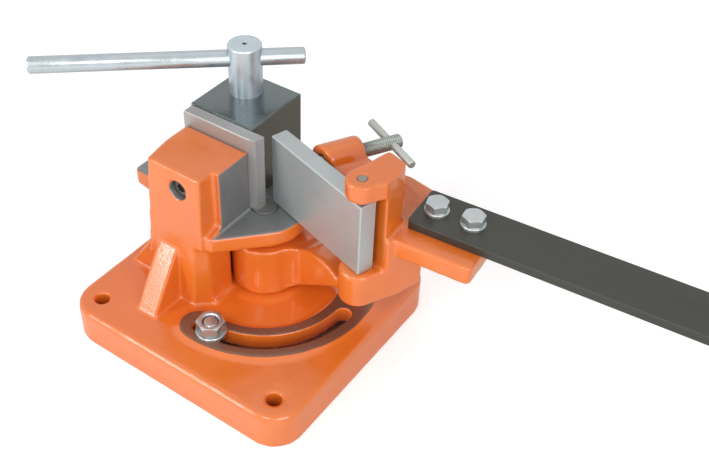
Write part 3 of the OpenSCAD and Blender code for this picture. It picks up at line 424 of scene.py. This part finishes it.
def ground_steel(name, grain_turn, dark="#9E9E9D", light="#B8B7B4", rough=0.42):
    """Surface-ground steel: bright grey, with fine wheel marks along the length that spread the light,
    and the odd darker handling mark. The real marks are 0.1 mm apart, here 0.5 mm so that they show."""
    material, tree, surface, coordinate = new_material(name)
    place = coordinate.outputs["Object"]
    turned = add_node(tree, "ShaderNodeVectorRotate", {"Vector": place, "Angle": -grain_turn},
                      rotation_type="Z_AXIS")
    stretched = add_node(tree, "ShaderNodeMapping",
                         {"Vector": turned.outputs["Vector"], "Scale": (1 / 0.04, 1 / 0.0005, 1 / 0.0005)})
    marks = add_node(tree, "ShaderNodeTexNoise",
                     {"Vector": stretched.outputs["Vector"], "Scale": 1.0, "Detail": 4.0})
    handling = add_node(tree, "ShaderNodeTexNoise",
                        {"Vector": place, "Scale": 1 / 0.03, "Detail": 3.0, "Roughness": 0.6})
    tone = add_node(tree, "ShaderNodeMix",
                    {"Factor": marks.outputs["Fac"], "A": linear(dark), "B": linear(light)},
                    data_type="RGBA")
    colour = add_node(tree, "ShaderNodeMix",
                      {"Factor": handling.outputs["Fac"], "A": tone.outputs["Result"],
                       "B": linear(dark)}, data_type="RGBA")
    gloss = add_node(tree, "ShaderNodeMapRange",
                     {"Value": handling.outputs["Fac"], "From Min": 0.3, "From Max": 0.7,
                      "To Min": rough - 0.05, "To Max": rough + 0.06})
    bump = add_node(tree, "ShaderNodeBump",
                    {"Strength": 0.3, "Distance": 0.0001, "Height": marks.outputs["Fac"]})
    feed(tree, surface, {"Base Color": colour.outputs["Result"], "Metallic": 0.6,
                         "Roughness": gloss.outputs["Result"], "Normal": bump.outputs["Normal"]})
    return material


pin_mesh = upright_pin("pivot_pin_turned", "pivot_pin", pin_chamfer)
pin_steel = ground_steel("faced_pin_steel", 0, "#7A7A79", "#8C8C8A", 0.42)
add_piece("pivot_pin_turned", pin_mesh, pin_steel, "base", "ground_steel", "pivot_pin")

# Jaw plate
# The former is a plate of tool steel, ground all over, that stands on the table against the head's
# back. Bars are bent round its nose. One cap screw through the head holds it.
jaw_ease = 0.0004


def eased(node, ease, steps=2):
    """A copy of a node's mesh with its sharp edges eased, as a file leaves them."""
    same_place = 1e-6
    same_plane = math.radians(0.5)
    mesh = frame["nodes"][node].data.copy()
    shape = bmesh.new()
    shape.from_mesh(mesh)
    bmesh.ops.remove_doubles(shape, verts=shape.verts, dist=same_place)
    bmesh.ops.dissolve_limit(shape, angle_limit=same_plane, verts=shape.verts, edges=shape.edges)
    shape.to_mesh(mesh)
    shape.free()
    return worked(crisp(mesh), node + "_eased", "BEVEL", width=ease, segments=steps, limit_method="ANGLE",
                  angle_limit=edge_angle, harden_normals=True)


jaw_steel = ground_steel("ground_jaw_steel", 0)
add_piece("jaw_plate_ground", eased("jaw_plate", jaw_ease), jaw_steel, "base", "ground_steel", "jaw_plate")

# Jaw screw
# A black cap screw with a hexagon socket sits in a counterbore of the head, nearer to its mouth than
# the CAD has it. Black oxide is a thin dark skin on the steel, which keeps a low metal shine.
screw_ease = 0.0004
screw_head_back = screw_low.y + 0.007
screw_head_rise = 0.003


def black_oxide(name, dark, light, painted_side_shade, rough):
    """Black oxide on machined steel: a dark, cloudy metal with a soft shine. Upright faces get a painted
    shade, a colour of their own that stands in for the light they catch and mirror. Tool marks of about 0.3
    mm are drawn at 0.9 mm so that they show."""
    material, tree, surface, coordinate = new_material(name)
    place = coordinate.outputs["Object"]
    facing = add_node(tree, "ShaderNodeSeparateXYZ", {"Vector": coordinate.outputs["Normal"]})
    top_over_side_shade = add_node(tree, "ShaderNodeMapRange",
                      {"Value": facing.outputs["Z"], "From Min": 0.3, "From Max": 0.7})
    cloud = add_node(tree, "ShaderNodeTexNoise",
                     {"Vector": place, "Scale": 1 / 0.02, "Detail": 4.0, "Roughness": 0.55})
    scuff = add_node(tree, "ShaderNodeTexNoise", {"Vector": place, "Scale": 1 / 0.0009, "Detail": 2.0})
    tone = add_node(tree, "ShaderNodeMix",
                    {"Factor": cloud.outputs["Fac"], "A": linear(dark), "B": linear(light)},
                    data_type="RGBA")
    colour = add_node(tree, "ShaderNodeMix",
                      {"Factor": top_over_side_shade.outputs["Result"], "A": linear(painted_side_shade), "B": tone.outputs["Result"]},
                      data_type="RGBA")
    gloss = add_node(tree, "ShaderNodeMapRange",
                     {"Value": cloud.outputs["Fac"], "From Min": 0.3, "From Max": 0.7,
                      "To Min": rough - 0.05, "To Max": rough + 0.08})
    bump = add_node(tree, "ShaderNodeBump",
                    {"Strength": 0.06, "Distance": 0.00006, "Height": scuff.outputs["Fac"]})
    feed(tree, surface, {"Base Color": colour.outputs["Result"], "Metallic": 1.0,
                         "Roughness": gloss.outputs["Result"], "Normal": bump.outputs["Normal"]})
    return material


# The screw's upright faces get a colour of their own as painted shade.
screw_black = black_oxide("black_oxide_screw_steel", "#6A6561", "#878380", "#787470", 0.3)
screw_mesh = eased("jaw_screw", screw_ease)
for vertex in screw_mesh.vertices:
    if vertex.co.y < screw_head_back:
        vertex.co.y -= screw_head_rise
add_piece("jaw_cap_screw", screw_mesh, screw_black, "base", "black_steel", "jaw_screw")

# Clamp block and its guide key
# A square block of steel slides on the table behind the jaw, and clamps the bar against it. It is
# milled and blacked, with a soft mirror on top; its sides are painted a browner shade for what they
# mirror. A ground key guides it below.
block_ease = 0.0009


def coat(node, material):
    """Gives a CAD node's own mesh a better material."""
    for slot in frame["nodes"][node].material_slots:
        slot.material = material


# The block's upright sides get the browner colour as painted shade.
block_black = black_oxide("black_oxide_block_steel", "#6A7172", "#787F80", "#5D5A52", 0.26)
add_piece("clamp_block_blacked", eased("clamp_block", block_ease, 3), block_black, "block", "black_steel",
          "clamp_block")
coat("guide_key", ground_steel("ground_key_steel", math.pi / 2))

# Eccentric spindle
# The clamp's spindle is turned from steel bar and zinc plated bright. Its journal below the block is
# off centre, so turning it draws the block to the jaw. The tommy bar goes through its cross hole.
spindle_radius = 0.0155
spindle_bevel = 0.0015
journal_radius = 0.009
journal_groove = 0.001
grub_hole_radius = 0.0022
grub_hole_depth = 0.0068
small_bevel = 0.0004
bar_hole_radius = 0.0079
bar_hole_band = 0.04


def bright_zinc(name, dark="#AEBAC0", light="#CAD5DB", rough=0.34):
    """Bright zinc plate with a clear blue passivate: a pale, slightly blue metal, a little cloudy, whose
    fine scuffs soften what it mirrors. The scuffs, about 0.3 mm, are drawn at 1.5 mm so that they show."""
    material, tree, surface, coordinate = new_material(name)
    place = coordinate.outputs["Object"]
    cloud = add_node(tree, "ShaderNodeTexNoise",
                     {"Vector": place, "Scale": 1 / 0.012, "Detail": 3.0, "Roughness": 0.6})
    scuff = add_node(tree, "ShaderNodeTexNoise", {"Vector": place, "Scale": 1 / 0.0015, "Detail": 1.0})
    colour = add_node(tree, "ShaderNodeMix",
                      {"Factor": cloud.outputs["Fac"], "A": linear(dark), "B": linear(light)},
                      data_type="RGBA")
    gloss = add_node(tree, "ShaderNodeMapRange",
                     {"Value": cloud.outputs["Fac"], "From Min": 0.3, "From Max": 0.7,
                      "To Min": rough - 0.06, "To Max": rough + 0.08})
    bump = add_node(tree, "ShaderNodeBump",
                    {"Strength": 0.03, "Distance": 0.00004, "Height": scuff.outputs["Fac"]})
    feed(tree, surface, {"Base Color": colour.outputs["Result"], "Metallic": 0.8,
                         "Roughness": gloss.outputs["Result"], "Normal": bump.outputs["Normal"]})
    return material


def long_axis(node):
    """The middle of each end of a long node, found from its own points."""
    points = np.array([vertex.co for vertex in frame["nodes"][node].data.vertices])
    axes = np.linalg.svd(points - points.mean(0), full_matrices=False)[2]
    if axes[0][0] < 0:
        axes = -axes
    spread = points @ axes.T
    low, high = spread.min(0), spread.max(0)
    middle = (low + high) / 2
    return [Vector(np.array((end, middle[1], middle[2])) @ axes) for end in (low[0], high[0])]


def joined(name, *meshes):
    """One mesh made of several that touch."""
    shape = bmesh.new()
    for mesh in meshes:
        shape.from_mesh(mesh)
    whole = bpy.data.meshes.new(name)
    shape.to_mesh(whole)
    shape.free()
    return crisp(whole)


def drilled(mesh, hole):
    """A mesh with the shape of another cut out of it."""
    drill = bpy.data.objects.new("drill", hole)
    bpy.context.scene.collection.objects.link(drill)
    result = worked(mesh, "drilled", "BOOLEAN", operation="DIFFERENCE", solver="EXACT", object=drill)
    bpy.data.objects.remove(drill)
    return crisp(result)


spindle_foot = Vector(joints["spindle_turn"]["pos_m"])
spindle_foot.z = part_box("clamp_block")[0].z
spindle_low, spindle_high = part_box("eccentric_spindle")
spindle_height = spindle_high.z - spindle_foot.z
# A ring below the cross hole keeps the wall's faces short where the hole cuts them.
spindle_body = ringed("spindle_body", [
    (0, 0), (spindle_radius - small_bevel, 0), (spindle_radius, small_bevel),
    (spindle_radius, spindle_height - bar_hole_band), (spindle_radius, spindle_height - spindle_bevel),
    (spindle_radius - spindle_bevel * 0.4, spindle_height - spindle_bevel * 0.35),
    (spindle_radius - spindle_bevel, spindle_height), (grub_hole_radius + small_bevel, spindle_height),
    (grub_hole_radius, spindle_height - small_bevel), (grub_hole_radius, spindle_height - grub_hole_depth),
    (0, spindle_height - grub_hole_depth)], sides=96)
stand(spindle_body, spindle_foot)
bar_start, bar_end = long_axis("tommy_bar")
bar_way = (bar_end - bar_start).normalized()
bar_crossing = bar_start + bar_way * (spindle_foot - bar_start).dot(bar_way)
cross_hole = bevelled_rod("cross_hole", bar_hole_radius, 4 * spindle_radius, small_bevel)
stand(cross_hole, bar_crossing - bar_way * 2 * spindle_radius, bar_way)
spindle_body = drilled(spindle_body, cross_hole)
journal_foot = foot_of("spindle_washer")
journal_foot.z = spindle_low.z
journal_length = spindle_foot.z - journal_foot.z
ring_low, ring_high = [corner.z - journal_foot.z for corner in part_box("spindle_circlip")]
journal = ringed("journal", [
    (0, 0), (journal_radius - small_bevel, 0), (journal_radius, small_bevel),
    (journal_radius, ring_low), (journal_radius - journal_groove, ring_low),
    (journal_radius - journal_groove, ring_high), (journal_radius, ring_high),
    (journal_radius, journal_length), (0, journal_length)])
stand(journal, journal_foot)
zinc = bright_zinc("bright_zinc_plate")
add_piece("eccentric_spindle_plated", joined("eccentric_spindle_plated", spindle_body, journal), zinc,
          "spindle", "zinc_plate", "eccentric_spindle")

# Tommy bar, grub screw, washer and ring of the spindle
# A plain round bar, plated like the spindle, is held in the cross hole by a small black grub screw
# down from the spindle's end. A washer and a spring ring keep the journal up under the table.
bar_radius = 0.0077
bar_bevel = 0.0016
bar_spare = 0.0015
bar_length = (bar_end - bar_start).length + 2 * bar_spare
bar_mesh = bevelled_rod("tommy_bar_turned", bar_radius, bar_length, bar_bevel)
stand(bar_mesh, bar_start - bar_way * bar_spare, bar_way)
bar_zinc = bright_zinc("bright_zinc_bar", "#A4ADB2", "#BEC7CB", 0.3)
add_piece("tommy_bar_turned", bar_mesh, bar_zinc, "spindle", "zinc_plate", "tommy_bar")
coat("bar_grub_screw", screw_black)
coat("spindle_washer", zinc)
coat("spindle_circlip", screw_black)

# Arm casting
# The swinging arm is a second sand casting: hub, curved web, wall with two lugs for the leaf's pin,
# boss for the adjusting screw and shelf for the handle. It has the same enamel as the base.
arm_grain = 0.0012
arm_rounds = 9
arm_turn = math.radians(-17)
lug_swell = 0.004
lug_high = (0.197, 0.2)
lug_deep = (0.035, 0.055)
lug_near = (0.084, 0.09)
lug_far = (0.112, 0.1)
shelf_swell = 0.014
shelf_rise = 0.006
shelf_deep = (0.08, 0.088)
shelf_low = (0.165, 0.163)
shelf_end = (0.112, 0.096)
fillet_near = (0.135, 0.095)
fillet_high = (0.14, 0.155)
shelf_sand_reach = 0.05
shelf_sand_depth = 3.0


def soft_arm(points):
    """The arm is painted all over, so every edge stays soft."""
    return np.zeros(len(points))


def swollen_arm(points):
    """The mould gave way at the upper lug's left side, and where the handle's shelf runs in behind the
    wall a rough fillet is left between them."""
    along = np.array((math.cos(arm_turn), math.sin(arm_turn), 0))
    behind = np.array((-math.sin(arm_turn), math.cos(arm_turn), 0))
    reach = (points - np.array(pivot_place)) @ along
    depth = (points - np.array(pivot_place)) @ behind
    height = points[:, 2]
    lug = ramp(height, lug_high) * ramp(depth, lug_deep) * ramp(reach, lug_near) * ramp(reach, lug_far)
    shelf = ramp(depth, shelf_deep) * ramp(height, shelf_low)
    fillet = shelf * ramp(reach, fillet_near) * ramp(height, fillet_high)
    sideways = -(lug_swell * lug + shelf_swell * shelf * ramp(reach, shelf_end))
    return np.outer(sideways, along) + np.outer(shelf_rise * fillet, (0, 0, 1))


handle_near, handle_far = long_axis("handle_bar")
arm_mesh = soft_casting("arm_casting", arm_grain, arm_rounds, soft_arm, swollen_arm)
arm_paint = orange_enamel("orange_enamel", handle_near, shelf_sand_reach, shelf_sand_depth)[0]
add_piece("arm_casting_painted", arm_mesh, arm_paint, "arm", "orange_paint", "arm_casting")

# Pivot bush and leaf pin
# A bronze bush is pressed into the arm's hub, where only its lower rim can be seen. The leaf's pin is
# a ground steel dowel, driven down through the upper lug and left flush with its top.
dowel_bevel = 0.0006
# Machined bronze is a warm metal with fine rings from the lathe, 0.3 mm apart and drawn at 1.3 mm.
# The texture puts a ring at every 0.314 of its scale.
lathe_scale = 0.004
bronze, tree, surface, coordinate = new_material("machined_bronze")
lathe_marks = add_node(tree, "ShaderNodeTexWave",
                       {"Vector": coordinate.outputs["Object"], "Scale": 1 / lathe_scale,
                        "Distortion": 1.5}, bands_direction="Z")
colour = add_node(tree, "ShaderNodeMix",
                  {"Factor": lathe_marks.outputs["Fac"], "A": linear("#A0703A"), "B": linear("#B98B4E")},
                  data_type="RGBA")
bump = add_node(tree, "ShaderNodeBump",
                {"Strength": 0.2, "Distance": 0.0001, "Height": lathe_marks.outputs["Fac"]})
feed(tree, surface, {"Base Color": colour.outputs["Result"], "Metallic": 1.0, "Roughness": 0.34,
                     "Normal": bump.outputs["Normal"]})
coat("pivot_bush", bronze)
dowel_mesh = upright_pin("leaf_pin_turned", "leaf_pin", dowel_bevel)
dowel_steel = ground_steel("ground_pin_steel", 0, "#8A8880", "#9E9C94", 0.42)
add_piece("leaf_pin_turned", dowel_mesh, dowel_steel, "arm", "ground_steel", "leaf_pin")

# Bending leaf
# The leaf is a flat of steel, ground on all faces, that swings on its pin at the arm's end and
# presses the bar round the jaw's nose.
leaf_ease = 0.001
leaf_start, leaf_end = long_axis("bending_leaf")
leaf_turn = math.atan2(leaf_end.y - leaf_start.y, leaf_end.x - leaf_start.x)
leaf_steel = ground_steel("ground_leaf_steel", leaf_turn, "#ABB1B2", "#C3C9C8", 0.4)
add_piece("bending_leaf_ground", eased("bending_leaf", leaf_ease, 3), leaf_steel, "leaf", "ground_steel",
          "bending_leaf")

# Adjusting screw and its thrust pad
# A length of studding, zinc plated, goes through the arm's boss and sets the leaf's slant. A domed
# pad turns on its spigot and bears on the leaf's back. A pin through its tail turns it by hand.
thread_radius = 0.0066
thread_pitch = 0.002
thread_depth = 0.0011
thread_end_bevel = 0.0015
spigot_radius = 0.003
spigot_length = 0.0027
cross_pin_radius = 0.0036
cross_pin_bevel = 0.0007


def threaded_rod(name, radius, length):
    """A rod with a right-hand V thread all along it. Both ends are bevelled, and the upper one is domed."""
    sides = 48
    steps_in_pitch = 12
    flat_crest = 0.12
    dome_share = 0.06
    dome = radius * dome_share
    straight = length - dome
    turn = np.arange(sides) / sides
    rings = [(0, 0)]
    for height in np.linspace(0, straight, int(straight / thread_pitch * steps_in_pitch)):
        groove = np.abs((height / thread_pitch - turn) % 1 * 2 - 1)
        thread = radius - thread_depth * np.clip(groove / (1 - flat_crest), 0, 1)
        end_cone = radius - thread_end_bevel + min(height, straight - height, thread_end_bevel)
        rings.append((np.minimum(thread, end_cone), height))
    rings += [(radius / 2, straight + dome * 5 / 6), (0, length)]
    return ringed(name, rings, sides=sides)


screw_place = Vector(joints["screw_turn"]["pos_m"])
screw_way = -Vector(joints["screw_turn"]["axis"])
screw_points = np.array([vertex.co for vertex in frame["nodes"]["adjusting_screw"].data.vertices])
screw_reach = (screw_points - np.array(screw_place)) @ np.array(screw_way)
screw_start, screw_end = screw_reach.min(), screw_reach.max()
stud = threaded_rod("stud", thread_radius, screw_end - screw_start - spigot_length)
stand(stud, screw_place + screw_way * (screw_start + spigot_length), screw_way)
spigot = bevelled_rod("spigot", spigot_radius, spigot_length + small_bevel, small_bevel)
stand(spigot, screw_place + screw_way * screw_start, screw_way)
stud_zinc = bright_zinc("dull_zinc_stud", "#9AA19D", "#B5BBB6", 0.38)
add_piece("adjusting_screw_threaded", joined("adjusting_screw_threaded", stud, spigot), stud_zinc, "screw",
          "zinc_plate", "adjusting_screw")
coat("thrust_pad", stud_zinc)
cross_start, cross_end = long_axis("screw_tommy_pin")
cross_way = cross_end - cross_start
cross_pin = bevelled_rod("screw_pin_turned", cross_pin_radius, cross_way.length, cross_pin_bevel)
cross_zinc = bright_zinc("dull_zinc_pin", "#AEB2AC", "#C6C9C2", 0.4)
add_piece("screw_pin_turned", stand(cross_pin, cross_start, cross_way), cross_zinc, "screw", "zinc_plate",
          "screw_tommy_pin")

# Handle bar
# The handle is a flat bar of hot-rolled steel with rounded edges, which lies on the arm's shelf under
# two bolts. Mill scale makes it a dark, slightly olive grey with a satin shine.
handle_ease = 0.0003
handle_turn = math.atan2(handle_far.y - handle_near.y, handle_far.x - handle_near.x)
# The scale's clouds are drawn out along the bar. Its pits, about 0.5 mm, are drawn at 1.6 mm to show.
scale_steel, tree, surface, coordinate = new_material("black_mill_scale")
place = coordinate.outputs["Object"]
rolled = add_node(tree, "ShaderNodeVectorRotate", {"Vector": place, "Angle": -handle_turn},
                  rotation_type="Z_AXIS")
stretched = add_node(tree, "ShaderNodeMapping",
                     {"Vector": rolled.outputs["Vector"], "Scale": (1 / 0.12, 1 / 0.02, 1 / 0.02)})
cloud = add_node(tree, "ShaderNodeTexNoise",
                 {"Vector": stretched.outputs["Vector"], "Scale": 1.0, "Detail": 4.0})
scale_pits = add_node(tree, "ShaderNodeTexNoise",
                      {"Vector": place, "Scale": 1 / 0.0016, "Detail": 3.0, "Roughness": 0.6})
colour = add_node(tree, "ShaderNodeMix",
                  {"Factor": cloud.outputs["Fac"], "A": linear("#2B2B26"), "B": linear("#3A3B34")},
                  data_type="RGBA")
gloss = add_node(tree, "ShaderNodeMapRange",
                 {"Value": cloud.outputs["Fac"], "From Min": 0.3, "From Max": 0.7,
                  "To Min": 0.3, "To Max": 0.44})
bump = add_node(tree, "ShaderNodeBump",
                {"Strength": 0.25, "Distance": 0.0001, "Height": scale_pits.outputs["Fac"]})
feed(tree, surface, {"Base Color": colour.outputs["Result"], "Roughness": gloss.outputs["Result"],
                     "Normal": bump.outputs["Normal"]})
add_piece("handle_bar_rolled", eased("handle_bar", handle_ease), scale_steel, "arm", "black_steel",
          "handle_bar")

# Handle bolts and washers
# Two hexagon bolts with plain washers, zinc plated, hold the bar down. Their heads have the usual
# turned chamfer, which leaves a round face on top and curved edges on the six flats.
bolt_flats = 0.0178
bolt_shank_radius = 0.00595
bolt_head_turns = (0.2, 0.05)
bolt_washer_bore = 0.0065
bolt_washer_radius = 0.0107
cad_washer_radius = 0.012


def hexagon(name, flats, height, bore=0):
    """A hexagon whose corners are turned off: a bolt's head, dished inside a narrow rim, or a nut with
    a countersunk bore."""
    sides = 72
    chamfer_angle = math.radians(30)
    face_share = 0.95
    rim_share = 0.93
    dish_share = 0.9
    dish = 0.0002
    countersink_share = 0.14
    turn = np.arange(sides) * 2 * math.pi / sides
    from_flat = np.abs((turn + math.pi / 6) % (math.pi / 3) - math.pi / 6)
    edge = flats / 2 / np.cos(from_flat)
    face = flats / 2 * face_share
    fall = (edge - face) * math.tan(chamfer_angle)
    if not bore:
        return ringed(name, [(0, 0), (edge, 0), (edge, height - fall), (face, height),
                             (face * rim_share, height), (face * dish_share, height - dish),
                             (0, height - dish)], sides=sides)
    countersink = bore * countersink_share
    return ringed(name, [(bore, countersink), (bore + countersink, 0), (face, 0), (edge, fall),
                         (edge, height - fall), (face, height), (bore + countersink, height),
                         (bore, height - countersink)], closed=True, sides=sides)


def plain_washer(name, bore, radius, height):
    """A punched washer with its upper edge rolled over."""
    bevel = 0.0003
    return ringed(name, [(bore, 0), (radius, 0), (radius, height - 2 * bevel), (radius - 2 * bevel, height),
                         (bore + bevel, height), (bore, height - bevel)], closed=True)


pair_low, pair_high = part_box("handle_washers")
bolts_low, bolts_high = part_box("handle_bolts")
inset = Vector((cad_washer_radius, cad_washer_radius, 0))
bolt_meshes, washer_meshes = [], []
for middle, head_turn in zip((pair_low + inset, pair_high - inset), bolt_head_turns):
    middle.z = pair_high.z
    head = hexagon("head", bolt_flats, bolts_high.z - pair_high.z)
    bolt_meshes.append(stand(head, middle, turn=handle_turn + head_turn))
    middle.z = bolts_low.z
    shank = bevelled_rod("shank", bolt_shank_radius, pair_high.z - bolts_low.z + small_bevel, small_bevel)
    bolt_meshes.append(stand(shank, middle))
    middle.z = pair_low.z
    washer = plain_washer("washer", bolt_washer_bore, bolt_washer_radius, pair_high.z - pair_low.z)
    washer_meshes.append(stand(washer, middle))
bolt_zinc = bright_zinc("bright_zinc_bolts", "#AEB5B6", "#C8CDCD", 0.34)
add_piece("handle_bolts_plated", joined("handle_bolts_plated", *bolt_meshes), bolt_zinc, "arm",
          "zinc_plate", "handle_bolts")
add_piece("handle_washers_plated", joined("handle_washers_plated", *washer_meshes), bolt_zinc, "arm",
          "zinc_plate", "handle_washers")

# Angle stop
# A hexagon bolt stands up through the curved slot and is locked by a washer and a nut. The
# arm's lug strikes it. The bolt's domed end stays a little below the top of the nut.
stop_flats = 0.0232
stop_thread_radius = 0.0073
stop_nut_bore = 0.0075
stop_end_rise = 0.0011
stop_head_height = 0.01
stop_washer_bore = 0.0078
stop_zinc = bright_zinc("bright_zinc_stop", "#A6ACAE", "#C4C9CA", 0.3)
stop_place = foot_of("stop_washer")
stop_turn = math.atan2(stop_place.y - pivot_place.y, stop_place.x - pivot_place.x) + math.pi / 6
nut_low, nut_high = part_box("stop_nut")
nut = hexagon("stop_nut_plated", stop_flats, nut_high.z - nut_low.z, stop_nut_bore)
stand(nut, Vector((stop_place.x, stop_place.y, nut_low.z)), turn=stop_turn)
add_piece("stop_nut_plated", nut, stop_zinc, "stop", "zinc_plate", "stop_nut")
washer_low, washer_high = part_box("stop_washer")
washer = plain_washer("stop_washer_plated", stop_washer_bore, (washer_high.x - washer_low.x) / 2,
                      washer_high.z - washer_low.z)
add_piece("stop_washer_plated", stand(washer, stop_place), stop_zinc, "stop", "zinc_plate", "stop_washer")
stop_low, stop_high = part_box("stop_bolt")
head_foot = Vector((stop_place.x, stop_place.y, stop_low.z))
stud_foot = head_foot + Vector((0, 0, stop_head_height))
stud = threaded_rod("stop_stud", stop_thread_radius, stop_high.z + stop_end_rise - stud_foot.z)
head = stand(hexagon("stop_head", stop_flats, stop_head_height), head_foot, turn=stop_turn)
add_piece("stop_bolt_plated", joined("stop_bolt_plated", stand(stud, stud_foot), head), stop_zinc, "stop",
          "zinc_plate", "stop_bolt")

# Floor
# A sheet of white paper lies under the bender and runs out to the studio's white walls. It is matt,
# faintly cloudy, and takes the bender's shadow.
floor_size = 12.0
floor_drop = 0.0004
paper_cloud = 0.03
floor_glow = 0.42
far_glow = 1.0
far_start = 0.9
far_end = 2.2
# How brightly the paper glows in reflections, behind and in front: a painted sheen on the bender.
behind_reflection_glow = 0.25
front_reflection_glow = 1.0
front_line = -0.11
front_ramp = 0.03
under_foot = 0.112
half = floor_size / 2
floor_mesh = bpy.data.meshes.new("paper_floor")
floor_mesh.from_pydata([(-half, -half, 0), (half, -half, 0), (half, half, 0), (-half, half, 0)], [],
                       [(0, 1, 2, 3)])
floor = bpy.data.objects.new("paper_floor", floor_mesh)
floor.location.z = -floor_drop
bpy.context.scene.collection.objects.link(floor)
paper, tree, surface, coordinate = new_material("white_paper")
# The noise counts in sheets, so its scale is the sheet's size over a cloud's.
clouding = add_node(tree, "ShaderNodeTexNoise", {"Scale": floor_size / paper_cloud, "Detail": 2.0})
shade = add_node(tree, "ShaderNodeMix",
                 {"Factor": clouding.outputs["Fac"], "A": linear("#E6E6E6"), "B": linear("#F0F0F0")},
                 data_type="RGBA")
# The paper's glow shows in what is mirrored, a quarter of it behind the bender and all of it in front,
# which paints a sheen on the bender's front faces.
seen = add_node(tree, "ShaderNodeLightPath")
mirrored = add_node(tree, "ShaderNodeMath",
                    {0: seen.outputs["Is Glossy Ray"], 1: seen.outputs["Is Transmission Ray"]},
                    operation="MAXIMUM")
spot = add_node(tree, "ShaderNodeSeparateXYZ", {"Vector": coordinate.outputs["Object"]})
reflection_glow_share = add_node(tree, "ShaderNodeMapRange",
                 {"Value": spot.outputs["Y"], "From Min": front_line, "From Max": front_line - front_ramp,
                  "To Min": behind_reflection_glow, "To Max": front_reflection_glow})
whole = add_node(tree, "ShaderNodeMath",
                 {0: mirrored.outputs["Value"], 1: reflection_glow_share.outputs["Result"],
                  2: seen.outputs["Is Camera Ray"]}, operation="MULTIPLY_ADD")
# No glow under the foot, so that the slot and the bolt holes look down into shade.
outward = add_node(tree, "ShaderNodeVectorMath", {0: coordinate.outputs["Object"]}, operation="LENGTH")
open_floor = add_node(tree, "ShaderNodeMath",
                      {0: outward.outputs["Value"], 1: under_foot}, operation="GREATER_THAN")
# Far out, where the lamps no longer reach, the paper glows more and stays as white as the studio.
far_out = add_node(tree, "ShaderNodeMapRange",
                   {"Value": outward.outputs["Value"], "From Min": far_start, "From Max": far_end,
                    "To Min": floor_glow, "To Max": far_glow})
open_glow = add_node(tree, "ShaderNodeMath",
                     {0: open_floor.outputs["Value"], 1: far_out.outputs["Result"]}, operation="MULTIPLY")
glow = add_node(tree, "ShaderNodeMath",
                {0: whole.outputs["Value"], 1: open_glow.outputs["Value"]}, operation="MULTIPLY")
feed(tree, surface, {"Base Color": shade.outputs["Result"], "Roughness": 0.9, "Specular IOR Level": 0.0,
                     "Emission Color": (1, 1, 1, 1), "Emission Strength": glow.outputs["Value"]})
floor_mesh.materials.append(paper)

# Light
# The studio's walls are white, but light the bender less than they show. One soft box stands high at
# the front, one at the right and a weak one above. Two small lamps at the left brighten the edges.
wall_light = 0.54
world = bpy.data.worlds.new("white_studio")
world.use_nodes = True
bpy.context.scene.world = world
tree = world.node_tree
seen = add_node(tree, "ShaderNodeLightPath")
direct = add_node(tree, "ShaderNodeMath",
                  {0: seen.outputs["Is Camera Ray"], 1: seen.outputs["Is Glossy Ray"]}, operation="MAXIMUM")
whole = add_node(tree, "ShaderNodeMath",
                 {0: direct.outputs["Value"], 1: seen.outputs["Is Transmission Ray"]}, operation="MAXIMUM")
strength = add_node(tree, "ShaderNodeMapRange",
                    {"Value": whole.outputs["Value"], "To Min": wall_light, "To Max": 1.0})
feed(tree, tree.nodes["Background"], {"Color": (1, 1, 1, 1), "Strength": strength.outputs["Result"]})
aim = Vector((0, 0, 0.1))
for name, lamp_place, size, power in (("front_soft_box", (0.25, -1.5, 1.4), 0.5, 8),
                                      ("right_soft_box", (1.75, -1.0, 1.0), 1.2, 19),
                                      ("left_lamp", (-0.95, -1.35, 1.35), 0.35, 6),
                                      ("low_left_lamp", (-0.95, -1.8, 0.55), 0.46, 8.5),
                                      ("top_soft_box", (-0.3, 0.5, 2.2), 1.6, 2)):
    lamp_data = bpy.data.lights.new(name, "AREA")
    lamp_data.size = size
    lamp_data.energy = power
    lamp = bpy.data.objects.new(name, lamp_data)
    lamp.location = lamp_place
    lamp.rotation_euler = (aim - Vector(lamp_place)).to_track_quat("-Z", "Y").to_euler()
    bpy.context.scene.collection.objects.link(lamp)

# Camera
# The photograph looks down on the bender from its front right, with a short telephoto lens.
# Its place, turn and framing were fitted to the base's edges, bolt holes and upright edges.
camera_place = (0.4506, -0.5318, 0.7125)
camera_azimuth = math.radians(35.8)
camera_elevation = math.radians(40.37)
camera_roll = math.radians(0.5)
camera_data = bpy.data.cameras.new("photo_camera")
camera_data.sensor_width = 36
camera_data.lens = 52.06
camera_data.shift_x = 0.0617
camera_data.shift_y = -0.0243
camera_data.clip_start = 0.01
back = Vector((math.sin(camera_azimuth) * math.cos(camera_elevation),
               -math.cos(camera_azimuth) * math.cos(camera_elevation),
               math.sin(camera_elevation)))
right = Vector((math.cos(camera_azimuth), math.sin(camera_azimuth), 0))
level = Matrix((right, back.cross(right), back)).transposed().to_4x4()
camera = bpy.data.objects.new("photo_camera", camera_data)
camera.matrix_world = Matrix.Translation(camera_place) @ level @ Matrix.Rotation(camera_roll, 4, "Z")
bpy.context.scene.collection.objects.link(camera)
bpy.context.scene.camera = camera
bpy.context.scene.view_settings.view_transform = "Standard"
